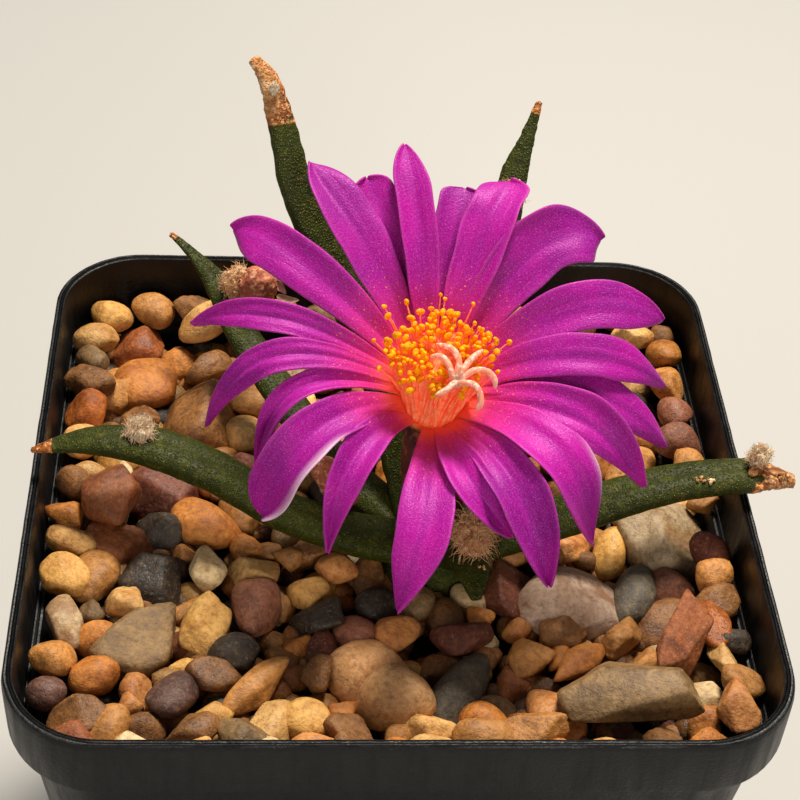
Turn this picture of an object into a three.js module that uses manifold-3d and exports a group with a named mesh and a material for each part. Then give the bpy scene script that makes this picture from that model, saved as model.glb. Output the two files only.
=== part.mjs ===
// Tamaulipas living rock cactus in flower, in a square plastic pot with a dressing of pebbles.
// Millimetres, +Z up. The underside of the pot is centred on the origin and the front is towards -Y.
import * as THREE from "three";
import { mergeVertices } from "three/addons/utils/BufferGeometryUtils.js";
import Module from "manifold-3d";

const wasm = await Module();
wasm.setup();

// Driving dimensions of the pot
const POT_WIDTH = 70;
const POT_HEIGHT = 65;
const POT_CORNER = 9;
const FOOT_WIDTH = 54;
const FOOT_CORNER = 7;
const COLLAR_HEIGHT = 6.5;
const COLLAR_STEP = 1;
const WALL = 1;
const LEDGE = 0.8;
const EDGE_ROUND = 0.4;
const DRAIN_DIAMETER = 5.5;
const DRAIN_REACH = 18;

// Driving dimensions of the fill. Heights are above the rim.
const CLEARANCE = 0.35;
const SOIL_TOP = -14;
const BED_DEPTH = 2;
const GRAVEL_LEVEL = -5.8;
const GRAVEL_FALL = 0.03;
const STONE_FLATNESS = 0.68;
const FILL_STONES = 96;
const STONE_SPACING = 0.185;
const BIG_STONE = 15;
const SMALL_STONE = 9;
const STONE_ROOM = 31.5;
const STONE_CORNER = 7.5;

// Driving dimensions of the plant, from the middle of the rim: x to the right, y to the back, z above the rim
const CROWN = [4, -4.5, -3];
const CROWN_RADIUS = 6;
const CROWN_FLAT = 3.6;
const TAPROOT_LENGTH = 34;
const BLOOM_PLACE = [3.2, -3.2, 13.5];
const BLOOM_TILT = 30;
const MOUTH_RADIUS = 4.2;
const THROAT_DEPTH = 6;
const THROAT_FLOOR = -5.4;
const TUBE_RADIUS = 2.6;
const TUBE_WALL = 0.8;
const PETAL_THICKNESS = 0.62;
const PETAL_ROOT = 3.5;
const STAMENS = 44;
const ANTHER_CLOUD = { place: [0.8, 0.5, 5.7], half: [5.5, 4.2, 0.7] };
const FILAMENT_RADIUS = 0.17;
const ANTHER_LENGTH = 1.15;
const ANTHER_WIDTH = 0.75;
const GOLDEN_ANGLE = 137.5;

// Each tubercle: points from the stem to its horny tip, as x, y, z and the width there
const TUBERCLE_THICKNESS = 0.62;
const TUBERCLE_SIDES = 10;
const TUBERCLES = {
  left: [[3, -5, -5.5, 5.6], [-3.5, -5.4, -3.6, 5.3], [-10.4, -5, -1, 5], [-16.8, -3, 2, 5.2],
    [-22.4, -1.2, 3.4, 5.2], [-28, -0.6, 3.9, 3.8], [-32, -0.7, 3.4, 2.1], [-34.8, -0.9, 2.7, 0.6]],
  right: [[5, -5, -5.5, 5.6], [11, -5.2, -3.6, 5.3], [18.7, -4.6, -0.8, 5.1], [25.3, -3.4, 1, 4.8],
    [31, -2.9, 1.9, 4.5], [35, -2.8, 2.1, 4.2], [37.6, -2.9, 1.9, 2.8], [39.3, -3, 1.6, 1.3]],
  back: [[3.5, -3, -5, 5.6], [1.5, 3, 0, 5.4], [-1.5, 8.5, 7.5, 5], [-6, 12.8, 15.2, 4.4],
    [-9.5, 16, 21.7, 3.5], [-11.3, 20, 27.4, 2.7], [-12.6, 21.9, 30.7, 2.1], [-14, 22.6, 32.4, 1.2]],
  back_right: [[5, -3, -5, 5], [7, 3, 0.5, 4.6], [9, 10, 8.5, 4], [10.7, 16.2, 16.5, 3.6],
    [12.2, 21.2, 21, 2.7], [13.4, 23.5, 23.5, 1.5], [14.6, 26, 26.2, 0.6]],
  back_left: [[3, -4, -5.5, 5], [-5, 4, -3.4, 4.4], [-11, 12.5, -0.6, 4], [-15.2, 19, 2.2, 3.6],
    [-17.4, 23.4, 4.2, 3.1], [-20, 25.8, 6.4, 1.4], [-22.7, 27.9, 7.9, 0.6]],
  front: [[4.5, -5, -5.5, 6.4], [6, -9, -2.6, 6], [7.6, -12.8, -0.6, 4.4], [8.4, -15.6, -0.7, 0.8]],
};

// Each wool tuft: middle, then half sizes along x, y and z
const TUFTS = {
  left: { place: [-24.4, -0.6, 5.3], half: [1.4, 1.3, 1.4] },
  right: { place: [35.6, -2.2, 4.3], half: [1.3, 1.2, 1.4] },
  back_right: { place: [11.7, 18.7, 19.6], half: [1.5, 1.3, 2] },
  back_left: { place: [-15.9, 22.6, 5.6], half: [1.3, 1.3, 2] },
  front: { place: [7.2, -10.8, 0.6], half: [2.2, 2, 2.5] },
};
const CROWN_TUFT = { place: [3.8, -4.2, -2.4], half: [6, 5.6, 2.6] };
const TUFT_FACETS = 80;
const CROWN_TUFT_FACETS = 320;
const TUFT_ROUGHNESS = 0.5;

// Each young fruit: middle, half sizes, then how far its long axis leans towards x and towards y, in degrees
const FRUITS = {
  left: { place: [-5.6, -2, 0.2], half: [1.7, 1.6, 3.2], lean: [-40, 8] },
  front: { place: [9.4, -4.9, 1], half: [1.7, 1.6, 3.2], lean: [26, -14] },
  back_left: { place: [-13.4, 21.6, 5.8], half: [2, 1.8, 2.3], lean: [30, 10] },
};

// Petals in the flower's own frame: azimuth at the root, then azimuth, reach and lift half way and at the
// tip, then width, how far the sides are raised as a share of the width, and the hook of the tip
const PETALS = {
  top: [98, [97, 13, 3.5], [95, 22.5, 4], 4, 0.08, 0],
  top_right_back: [85, [84, 13, 2.5], [84, 19, 3], 4.4, 0.06, 0],
  top_right: [70, [70, 13, 3.6], [70, 21, 3], 4.8, 0.14, 0.4],
  right_back: [53, [48, 13, 3.5], [42, 21, 3], 6.4, 0.2, 0.6],
  right_upper: [29, [25, 13.5, 4], [17, 22.5, 2], 5, 0.08, 0.4],
  right: [8, [6, 12, 4], [1, 21, 1.4], 4.4, 0.08, 2.4],
  right_under: [2, [-5, 12, 2.6], [-19, 20.5, -1], 5.2, 0.08, 2],
  right_lower: [-18, [-17, 12, 4], [-16, 23, 0], 4.6, 0.1, 0.6],
  front_right: [-31, [-35, 12, 4.6], [-44, 20.5, -0.4], 6, 0.2, 1.6],
  front_right_low: [-58, [-60, 12.5, 4], [-63, 21.5, 0], 4.8, 0.12, 0.4],
  front_slim: [-77, [-74, 11, 3.6], [-68, 16.5, 1], 3.8, 0.14, 0],
  front: [-94, [-96, 14, 4], [-99, 22, 1], 5.4, 0.1, 0.4],
  front_left: [-132, [-128, 11.5, 4], [-120, 19, 0], 4.6, 0.12, 0],
  left_low: [-156, [-151, 12.5, 4], [-141, 20, -1], 5.2, 0.14, 0],
  left_slim: [-178, [-170, 13, 3.8], [-154, 18.5, -2], 3.8, 0.1, 0.4],
  left: [170, [176, 14, 4.6], [188, 21.5, -2.4], 4.6, 0.08, 1],
  left_upper: [158, [161, 14.5, 4], [166, 23.5, 0.4], 4, 0.1, 0.6],
  left_back: [138, [140, 15, 3.5], [143, 24, 1], 5, 0.08, 0],
  top_left: [118, [118, 14.5, 3], [119, 24, 3], 5, 0.14, 0],
  top_left_back: [106, [107, 14, 2], [110, 20.5, 3], 4.6, 0.06, 0],
};

// Stigma in the flower's own frame: middle, and the azimuth, reach and drop of each lobe
const STIGMA_PLACE = [2.1, -1.1, 6];
const STIGMA_LOBES = [[122, 3.6, 0.4], [140, 3, 0.9], [213, 2.6, 1], [50, 3.5, 0.5], [-8, 3.5, 1.2], [-58, 2.9, 1.5]];

// Stones that show best: x, y, length, width and turn in degrees of each
const STONES = [
  [-27.5, -8.5, 6.5, 4.5, 80], [-22, -9, 6, 7, 30], [-31, -15.5, 5.5, 3.5, 95], [-26.5, -16.5, 4, 3.5, 0],
  [-22.5, -17, 9, 5.5, 40], [-29.5, -27.5, 6, 5, -10], [-25, -28, 5.5, 3.5, 70], [-19.5, -23.5, 6, 4, 70],
  [-17, -15, 6, 4, 70], [-18, -28, 5.5, 4.5, 25], [-14.5, -18, 4.5, 4, 25], [-12.5, -22.5, 8, 3, 45],
  [-12.5, -12, 7.5, 4.5, 90], [-13, -7.5, 5, 4, 30], [-8, -25.5, 4.5, 4, -25], [-4, -28, 6, 5, -20],
  [-3.5, -15, 4, 4, 0], [-1.5, -11.5, 4, 4, 0], [-1, -21.5, 10, 8, -65], [6.5, -21.5, 11, 5, 65],
  [6.5, -18, 5, 4, 0], [11, -11.5, 7, 5, 80], [11, -28.5, 6.5, 3.5, 0], [20, -26.5, 12, 6.5, -5],
  [16.5, -18.5, 7, 2.8, 45], [19.5, -20.5, 6.5, 4, 35], [16.5, -11, 11.5, 8.5, 10], [21.5, -15, 6, 3, 60],
  [26, -17, 10.5, 4, 70], [29, -15, 6.5, 3, -90], [27, -22.5, 5, 3, 15], [30.5, -25, 5.5, 3.5, -85],
  [23, -9.5, 7.5, 4, 75], [27, -6.5, 5, 5, -35], [22, -2, 6, 3, 70], [27.5, 0.5, 9.5, 9.5, -50],
  [-29.5, 1, 8.5, 5.5, 95], [-26, 3, 8.5, 2.5, 87], [-22, 3.5, 7, 6, -5], [-25.5, -4, 7, 5.5, 20],
  [-17.5, -1.5, 7, 5, -20], [-19, 15.5, 8, 10, 0], [-29, 19.5, 5.5, 7, 0], [-24.5, 20, 7, 7, -15],
  [-25.5, 26, 7, 5.5, 75], [-18.5, 28.5, 6, 4.5, 15], [-18, 23.5, 5.5, 4, 15], [-10.5, 21.5, 6, 6, -30],
  [25.5, 28, 5.5, 4.5, 0], [29.5, 29, 4.5, 4.5, -15], [26.5, 19.5, 6, 5, -15], [27.5, 14.5, 5, 4.5, -45],
  [30, 10, 5, 4, -15], [25, 9, 6.5, 3.5, 40],
];

// A small generator with a fixed seed, so every run draws the same numbers between 0 and 1
function makeDraw(seed) {
  let state = seed;
  return () => {
    state = (state * 1664525 + 1013904223) % 4294967296;
    return state / 4294967296;
  };
}

// A point given from the middle of the rim
const fromRim = ([x, y, z]) => new THREE.Vector3(x, y, POT_HEIGHT + z);

const radians = THREE.MathUtils.degToRad;
const lerp = THREE.MathUtils.lerp;
const clamp = THREE.MathUtils.clamp;

// A closed triangle mesh as a solid that can be joined and cut
function solidOf(geometry) {
  const bare = new THREE.BufferGeometry().setAttribute("position", geometry.getAttribute("position"));
  bare.setIndex(geometry.index);
  const merged = mergeVertices(bare, 1e-5);
  return new wasm.Manifold(new wasm.Mesh({
    numProp: 3,
    vertProperties: new Float32Array(merged.getAttribute("position").array),
    triVerts: new Uint32Array(merged.index.array),
  }));
}

// The solid's triangles as a geometry
function geometryOf(solid) {
  const mesh = solid.getMesh();
  const geometry = new THREE.BufferGeometry();
  const positions = new Float32Array(mesh.numVert * 3);
  for (let i = 0; i < mesh.numVert; i++) {
    positions.set(mesh.vertProperties.subarray(i * mesh.numProp, i * mesh.numProp + 3), i * 3);
  }
  geometry.setAttribute("position", new THREE.BufferAttribute(positions, 3));
  geometry.setIndex(new THREE.BufferAttribute(new Uint32Array(mesh.triVerts), 1));
  geometry.computeVertexNormals();
  return geometry;
}

function geometryFrom(points, index) {
  const geometry = new THREE.BufferGeometry().setFromPoints(points);
  geometry.setIndex(index);
  return geometry;
}

const joined = (solids) => solids.reduce((whole, piece) => whole.add(piece));

// The largest body of a solid, without loose scraps
function mainBody(solid) {
  const bodies = solid.decompose();
  return bodies.reduce((best, body) => (body.volume() > best.volume() ? body : best));
}

// The same solid with the slivers that joins leave behind taken out
const lighter = (solid, tolerance) => solid.asOriginal().simplify(tolerance);

// A closed skin through rings of equally many points, with a flat cap on the first and the last ring
function loft(rings) {
  const count = rings[0].length;
  const points = rings.flat();
  const index = [];
  for (let r = 0; r + 1 < rings.length; r++) {
    for (let i = 0; i < count; i++) {
      const a = r * count + i;
      const b = r * count + ((i + 1) % count);
      index.push(a, b, b + count, a, b + count, a + count);
    }
  }
  const last = (rings.length - 1) * count;
  for (let i = 1; i + 1 < count; i++) {
    index.push(0, i + 1, i);
    index.push(last, last + i, last + i + 1);
  }
  return geometryFrom(points, index);
}

// A skin round a path, whose sections are given as points across and up at each share of its length
function sweep(path, steps, sectionAt, up) {
  const curve = new THREE.CatmullRomCurve3(path, false, "centripetal");
  const rings = [];
  for (let i = 0; i <= steps; i++) {
    const share = i / steps;
    const middle = curve.getPoint(share);
    const along = curve.getTangent(share);
    const across = new THREE.Vector3().crossVectors(along, up).normalize();
    const over = new THREE.Vector3().crossVectors(across, along);
    rings.push(sectionAt(share).map(([x, y]) =>
      middle.clone().addScaledVector(across, -x).addScaledVector(over, y)));
  }
  return loft(rings);
}

// A square with round corners, as one ring of points
function roundedSquare(width, corner, z, steps = 5) {
  const centre = width / 2 - corner;
  const ring = [];
  for (let quarter = 0; quarter < 4; quarter++) {
    const start = (quarter * Math.PI) / 2;
    const cx = centre * Math.sign(Math.cos(start + Math.PI / 4));
    const cy = centre * Math.sign(Math.sin(start + Math.PI / 4));
    for (let i = 0; i <= steps; i++) {
      const angle = start + (i / steps) * (Math.PI / 2);
      ring.push(new THREE.Vector3(cx + corner * Math.cos(angle), cy + corner * Math.sin(angle), z));
    }
  }
  return ring;
}

// Pot: inner and outer width at a height above the ground
const collarFoot = POT_HEIGHT - COLLAR_HEIGHT;
const wallTop = POT_WIDTH - 2 * COLLAR_STEP - 1;
const outerWidth = (z) => lerp(FOOT_WIDTH, wallTop, z / collarFoot);
const innerWidth = (z) => outerWidth(z) - 2 * WALL;
const cornerAt = (z) => lerp(FOOT_CORNER, POT_CORNER - COLLAR_STEP, clamp(z / collarFoot, 0, 1));
const collarInside = POT_WIDTH - 2 * WALL;

// Rings up the inside of the pot, moved inward by a gap
function insideRings(gap, top) {
  const ledge = collarFoot - WALL;
  return [
    roundedSquare(innerWidth(WALL) - 2 * gap, cornerAt(0) - WALL - gap, WALL + gap),
    roundedSquare(innerWidth(ledge) - 2 * gap, cornerAt(ledge) - WALL - gap, ledge + gap),
    roundedSquare(collarInside - LEDGE - 2 * gap, POT_CORNER - WALL - gap, ledge + LEDGE + gap),
    roundedSquare(collarInside - 2 * gap, POT_CORNER - WALL - gap, top),
  ];
}

// The room inside the pot, shrunk on all sides
const potInside = (gap) => solidOf(loft(insideRings(gap, POT_HEIGHT + 2)));

function potSolid() {
  const outside = [
    roundedSquare(FOOT_WIDTH - 2 * EDGE_ROUND, FOOT_CORNER - EDGE_ROUND, 0),
    roundedSquare(outerWidth(EDGE_ROUND), cornerAt(EDGE_ROUND), EDGE_ROUND),
    roundedSquare(outerWidth(collarFoot), cornerAt(collarFoot), collarFoot),
    roundedSquare(POT_WIDTH - EDGE_ROUND, POT_CORNER, collarFoot + EDGE_ROUND),
    roundedSquare(POT_WIDTH, POT_CORNER, POT_HEIGHT - EDGE_ROUND),
    roundedSquare(POT_WIDTH - EDGE_ROUND, POT_CORNER - EDGE_ROUND / 2, POT_HEIGHT),
  ];
  let shell = solidOf(loft([...outside, ...insideRings(0, POT_HEIGHT).reverse()]));
  const hole = new THREE.CylinderGeometry(DRAIN_DIAMETER / 2, DRAIN_DIAMETER / 2, 4 * WALL, 10);
  hole.rotateX(Math.PI / 2);
  for (const x of [-DRAIN_REACH, 0, DRAIN_REACH]) {
    for (const y of [-DRAIN_REACH, 0, DRAIN_REACH]) {
      if (x !== 0 || y !== 0) shell = shell.subtract(solidOf(hole.clone().translate(x, y, 0)));
    }
  }
  return shell;
}

// Plant: a tubercle's flattened section, flatter above than below
function tubercleSection(width, grow) {
  const half = width / 2 + grow;
  const depth = (width / 2) * TUBERCLE_THICKNESS + grow;
  return Array.from({ length: TUBERCLE_SIDES }, (_, i) => {
    const angle = (i / TUBERCLE_SIDES) * 2 * Math.PI;
    const fullness = Math.sin(angle) > 0 ? 0.8 : 1.15;
    return [half * Math.cos(angle), depth * fullness * Math.sin(angle)];
  });
}

function tubercle(path, grow) {
  const points = path.map(fromRim);
  const tip = points.at(-1);
  tip.addScaledVector(tip.clone().sub(points.at(-2)).normalize(), grow);
  const widthAt = (share) => {
    const place = share * (path.length - 1);
    const before = Math.min(Math.floor(place), path.length - 2);
    return lerp(path[before][3], path[before + 1][3], place - before);
  };
  const overCrown = fromRim([CROWN[0], CROWN[1], 40]);
  const up = overCrown.sub(points[2]).normalize();
  return solidOf(sweep(points, 2 * (path.length - 1), (share) => tubercleSection(widthAt(share), grow), up));
}

// Plant: stem and taproot as one turned body, with a flat crown under the flower's tube
function stem(grow) {
  const low = CROWN[2] - TAPROOT_LENGTH;
  const profile = [
    [0, low - grow], [1.8, low + 1 - grow], [3.8, low + 11], [5.2, low + 21], [CROWN_RADIUS, -11],
    [CROWN_RADIUS - 0.9, -7.5], [CROWN_RADIUS - 1.6, -5], [CROWN_FLAT, CROWN[2]],
  ].map(([r, z]) => new THREE.Vector2(r === 0 ? 0 : r + grow, z === CROWN[2] ? z + grow : z));
  profile.push(new THREE.Vector2(0, CROWN[2] + grow));
  const turned = new THREE.LatheGeometry(profile, 20);
  turned.rotateX(Math.PI / 2);
  turned.translate(CROWN[0], CROWN[1], POT_HEIGHT);
  return solidOf(turned);
}

function plantSolid(grow) {
  return joined([stem(grow), ...Object.values(TUBERCLES).map((shape) => tubercle(shape, grow))]);
}

// Round balls of radius 1, by their count of facets
const BALLS = {
  20: new THREE.IcosahedronGeometry(1, 0),
  32: new THREE.OctahedronGeometry(1, 1),
  80: new THREE.IcosahedronGeometry(1, 1),
  320: new THREE.IcosahedronGeometry(1, 2),
};

// A rounded lump with an uneven skin
function lump(half, facets, roughness, draw) {
  const geometry = BALLS[facets].clone();
  geometry.deleteAttribute("normal");
  geometry.deleteAttribute("uv");
  const ball = mergeVertices(geometry, 1e-4);
  const place = ball.getAttribute("position");
  for (let i = 0; i < place.count; i++) {
    const swell = 1 + roughness * (draw() - 0.5);
    place.setXYZ(i, place.getX(i) * half[0] * swell, place.getY(i) * half[1] * swell,
      place.getZ(i) * half[2] * swell);
  }
  return ball;
}

// Gravel: height of its surface above the rim
const gravelLevel = (x, y) => GRAVEL_LEVEL - GRAVEL_FALL * (x + y);

// The stones that show best, and others drawn by a rule wherever there is room between them
function allStones() {
  const stones = STONES.map(([x, y, length, width, turn]) => ({ x, y, length, width, turn }));
  const draw = makeDraw(20);
  const corner = STONE_ROOM - STONE_CORNER;
  for (let tries = 0; stones.length < STONES.length + FILL_STONES && tries < 6000; tries++) {
    const width = 2.8 + 2 * draw();
    const length = width * (1 + 0.5 * draw());
    const x = (2 * draw() - 1) * (STONE_ROOM - width / 2);
    const y = (2 * draw() - 1) * (STONE_ROOM - width / 2);
    const turn = Math.round(180 * draw());
    const fromStem = Math.hypot(x - CROWN[0], y - CROWN[1]);
    const crowded = stones.some((other) => Math.hypot(x - other.x, y - other.y) <
      STONE_SPACING * (length + width + other.length + other.width));
    const pastCorner = Math.hypot(Math.max(0, Math.abs(x) - corner), Math.max(0, Math.abs(y) - corner));
    if (!crowded && pastCorner < STONE_CORNER && fromStem > CROWN_RADIUS) {
      stones.push({ x, y, length, width, turn });
    }
  }
  return stones;
}

// A stone's lower half goes straight down into the bed, so nothing is shut in under it
function rootInBed(place) {
  for (let i = 0; i < place.count; i++) {
    if (place.getZ(i) < 0) place.setZ(i, place.getZ(i) - BED_DEPTH);
  }
}

function gravelSolid(plantRoom) {
  const draw = makeDraw(7);
  const bed = loft([SOIL_TOP + CLEARANCE, 0].map((z, k) =>
    roundedSquare(POT_WIDTH, POT_CORNER, POT_HEIGHT + z).map((p) =>
      (k === 0 ? p : p.setZ(POT_HEIGHT + gravelLevel(p.x, p.y) - BED_DEPTH)))));
  const pieces = allStones().map(({ x, y, length, width, turn }) => {
    const height = STONE_FLATNESS * width + 0.6;
    const size = length + width;
    const facets = size > BIG_STONE ? 80 : size > SMALL_STONE ? 32 : 20;
    const stone = lump([length / 2, width / 2, height / 2], facets, 0.16, draw);
    stone.rotateY(radians(24 * (draw() - 0.5)));
    stone.rotateZ(radians(turn));
    rootInBed(stone.getAttribute("position"));
    const top = gravelLevel(x, y) + 0.3 * (height - 3.2);
    stone.translate(x, y, POT_HEIGHT + top - height / 2);
    return solidOf(stone);
  });
  const aboveSoil = solidOf(loft([
    roundedSquare(POT_WIDTH, POT_CORNER, POT_HEIGHT + SOIL_TOP + CLEARANCE),
    roundedSquare(POT_WIDTH, POT_CORNER, POT_HEIGHT + 5),
  ]));
  const room = potInside(CLEARANCE).intersect(aboveSoil);
  const whole = joined([solidOf(bed), ...pieces]).intersect(room);
  return lighter(mainBody(whole.subtract(plantRoom)), 0.08);
}

function soilSolid(plantRoom) {
  const slab = solidOf(loft([
    roundedSquare(POT_WIDTH, POT_CORNER, 0),
    roundedSquare(POT_WIDTH, POT_CORNER, POT_HEIGHT + SOIL_TOP),
  ]));
  return mainBody(slab.intersect(potInside(CLEARANCE)).subtract(plantRoom));
}

// Wool tufts and fruits, before what they sit on is cut out of them
function tuftSolid({ place, half }, seed, facets = TUFT_FACETS) {
  const tuft = lump(half, facets, TUFT_ROUGHNESS, makeDraw(seed));
  const at = fromRim(place);
  tuft.translate(at.x, at.y, at.z);
  return solidOf(tuft);
}

function fruitSolid({ place, half, lean }, seed) {
  const fruit = lump(half, 80, 0.04, makeDraw(seed));
  fruit.rotateX(radians(-lean[1]));
  fruit.rotateY(radians(lean[0]));
  const at = fromRim(place);
  fruit.translate(at.x, at.y, at.z);
  return solidOf(fruit);
}

// Flower: its frame has its origin in the middle of the mouth and +Z out of it
const bloomTurn = new THREE.Matrix4().makeRotationX(radians(BLOOM_TILT));
bloomTurn.setPosition(fromRim(BLOOM_PLACE));
const rimToBloom = bloomTurn.clone().invert();

const polar = ([azimuth, reach, lift]) => new THREE.Vector3(
  reach * Math.cos(radians(azimuth)), reach * Math.sin(radians(azimuth)), lift);

// The tube rises from the crown and bends over into the flower's axis
const footPoint = fromRim([CROWN[0], CROWN[1], CROWN[2] + CLEARANCE]).applyMatrix4(rimToBloom);
const footUp = new THREE.Vector3(0, 0, 1).transformDirection(rimToBloom);
const tubeCurve = new THREE.CubicBezierCurve3(
  footPoint,
  footPoint.clone().addScaledVector(footUp, 5),
  new THREE.Vector3(0, 0, -THROAT_DEPTH - 3),
  new THREE.Vector3(0, 0, -THROAT_DEPTH),
);

function tubeRing(middle, along, radius) {
  const sideways = new THREE.Vector3(1, 0, 0);
  const over = new THREE.Vector3().crossVectors(along, sideways).normalize();
  const across = new THREE.Vector3().crossVectors(over, along).normalize();
  return Array.from({ length: 18 }, (_, i) => {
    const angle = (i / 18) * 2 * Math.PI;
    return middle.clone().addScaledVector(across, radius * Math.cos(angle))
      .addScaledVector(over, radius * Math.sin(angle));
  });
}

// Outer radius of the straight upper stretch of the tube, by height below the mouth
const tubeRadius = (z) => lerp(TUBE_RADIUS, MOUTH_RADIUS, Math.pow(1 + z / THROAT_DEPTH, 1.4));

function tubeSolid(grow) {
  const axis = new THREE.Vector3(0, 0, 1);
  const rings = [];
  for (let i = 0; i <= 5; i++) {
    const share = i / 5;
    const swell = 0.5 * Math.sin(Math.PI * Math.min(1, share * 1.5));
    const middle = tubeCurve.getPoint(share).addScaledVector(footUp, i === 0 ? -grow : 0);
    rings.push(tubeRing(middle, tubeCurve.getTangent(share), TUBE_RADIUS + swell + grow));
  }
  const heights = [-4, -2, 0];
  heights.forEach((z) => rings.push(tubeRing(new THREE.Vector3(0, 0, z), axis, tubeRadius(z) + grow)));
  if (grow === 0) {
    const within = [0, -2, -4, THROAT_FLOOR];
    within.forEach((z) => rings.push(tubeRing(new THREE.Vector3(0, 0, z), axis, tubeRadius(z) - TUBE_WALL)));
  }
  return solidOf(loft(rings));
}

// A thin closed blade over a grid of points, with both faces split into triangles alike
function blade(grid, normals, thickness) {
  const rows = grid.length;
  const columns = grid[0].length;
  const points = [];
  for (const side of [0.5, -0.5]) {
    grid.forEach((row, i) => row.forEach((p, j) =>
      points.push(p.clone().addScaledVector(normals[i][j], side * thickness))));
  }
  const under = rows * columns;
  const at = (i, j) => i * columns + j;
  const index = [];
  const quad = (a, b, c, d) => index.push(a, b, c, a, c, d);
  for (let i = 0; i + 1 < rows; i++) {
    for (let j = 0; j + 1 < columns; j++) {
      quad(at(i, j), at(i, j + 1), at(i + 1, j + 1), at(i + 1, j));
      index.push(under + at(i, j), under + at(i + 1, j), under + at(i + 1, j + 1));
      index.push(under + at(i, j), under + at(i + 1, j + 1), under + at(i, j + 1));
    }
  }
  const edge = [];
  for (let i = 0; i < rows; i++) edge.push(at(i, 0));
  for (let j = 1; j < columns; j++) edge.push(at(rows - 1, j));
  for (let i = rows - 2; i >= 0; i--) edge.push(at(i, columns - 1));
  for (let j = columns - 2; j > 0; j--) edge.push(at(0, j));
  edge.forEach((a, k) => {
    const b = edge[(k + 1) % edge.length];
    quad(a, b, under + b, under + a);
  });
  return geometryFrom(points, index);
}

// Half the width of a petal at a share of its length: narrow at the root, widest past the middle
function petalHalfWidth(share, width) {
  const widest = 0.6;
  const rise = 0.36 + 0.64 * Math.sin((Math.PI / 2) * Math.min(1, share / widest));
  const past = clamp((share - widest) / (1 - widest), 0, 1);
  return Math.max(0.22, (width / 2) * rise * Math.pow(1 - Math.pow(past, 2.4), 0.9));
}

function petal([rootAzimuth, half, tip, width, cup, hook], grow) {
  const rows = 9;
  const columns = 4;
  const root = polar([rootAzimuth, PETAL_ROOT, -1]);
  const middle = polar(half);
  const end = polar(tip);
  const centre = (s) => {
    const p = new THREE.Vector3()
      .addScaledVector(root, (1 - s) * (1 - 2 * s))
      .addScaledVector(middle, 4 * s * (1 - s))
      .addScaledVector(end, s * (2 * s - 1));
    p.z -= hook * Math.pow(s, 7);
    return p;
  };
  const grid = [];
  const normals = [];
  for (let i = 0; i < rows; i++) {
    const s = i / (rows - 1);
    const along = centre(Math.min(1, s + 0.02)).sub(centre(Math.max(0, s - 0.02))).normalize();
    const across = new THREE.Vector3().crossVectors(along, new THREE.Vector3(0, 0, 1)).normalize();
    const over = new THREE.Vector3().crossVectors(across, along);
    const reach = petalHalfWidth(s, width);
    const raise = cup * width * Math.sin(Math.PI * s);
    const row = [];
    const rowNormals = [];
    for (let j = 0; j < columns; j++) {
      const t = (2 * j) / (columns - 1) - 1;
      row.push(centre(s).addScaledVector(across, t * reach).addScaledVector(over, raise * t * t));
      rowNormals.push(over.clone().addScaledVector(across, -raise * t * 0.5).normalize());
    }
    grid.push(row);
    normals.push(rowNormals);
  }
  return solidOf(blade(grid, normals, PETAL_THICKNESS + 2 * grow));
}

const petalsSolid = (grow) => joined(Object.values(PETALS).map((shape) => petal(shape, grow)));

// Style and stigma, in the flower's frame
function roundSweep(path, steps, radiusAt, sides, up) {
  return solidOf(sweep(path, steps, (share) => Array.from({ length: sides }, (_, i) => {
    const angle = (i / sides) * 2 * Math.PI;
    return [radiusAt(share) * Math.cos(angle), radiusAt(share) * Math.sin(angle)];
  }), up));
}

function pistilSolid(grow) {
  const top = new THREE.Vector3(...STIGMA_PLACE);
  const foot = new THREE.Vector3(0, 0, THROAT_FLOOR + CLEARANCE - grow);
  const bend = new THREE.Vector3(0.3, -0.2, -1);
  const sideways = new THREE.Vector3(1, 0, 0);
  const style = roundSweep([foot, bend, top], 5, (share) => 0.5 + 0.16 * share + grow, 8, sideways);
  const lobes = STIGMA_LOBES.map(([azimuth, reach, drop]) => {
    const out = polar([azimuth, 1, 0]);
    const path = [
      top.clone().addScaledVector(out, -0.15),
      top.clone().addScaledVector(out, reach * 0.45).setZ(top.z + 0.55),
      top.clone().addScaledVector(out, reach).setZ(top.z - drop),
    ];
    return roundSweep(path, 4, (share) => 0.36 - 0.08 * share + grow, 5, new THREE.Vector3(0, 0, 1));
  });
  return joined([style, ...lobes]);
}

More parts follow.
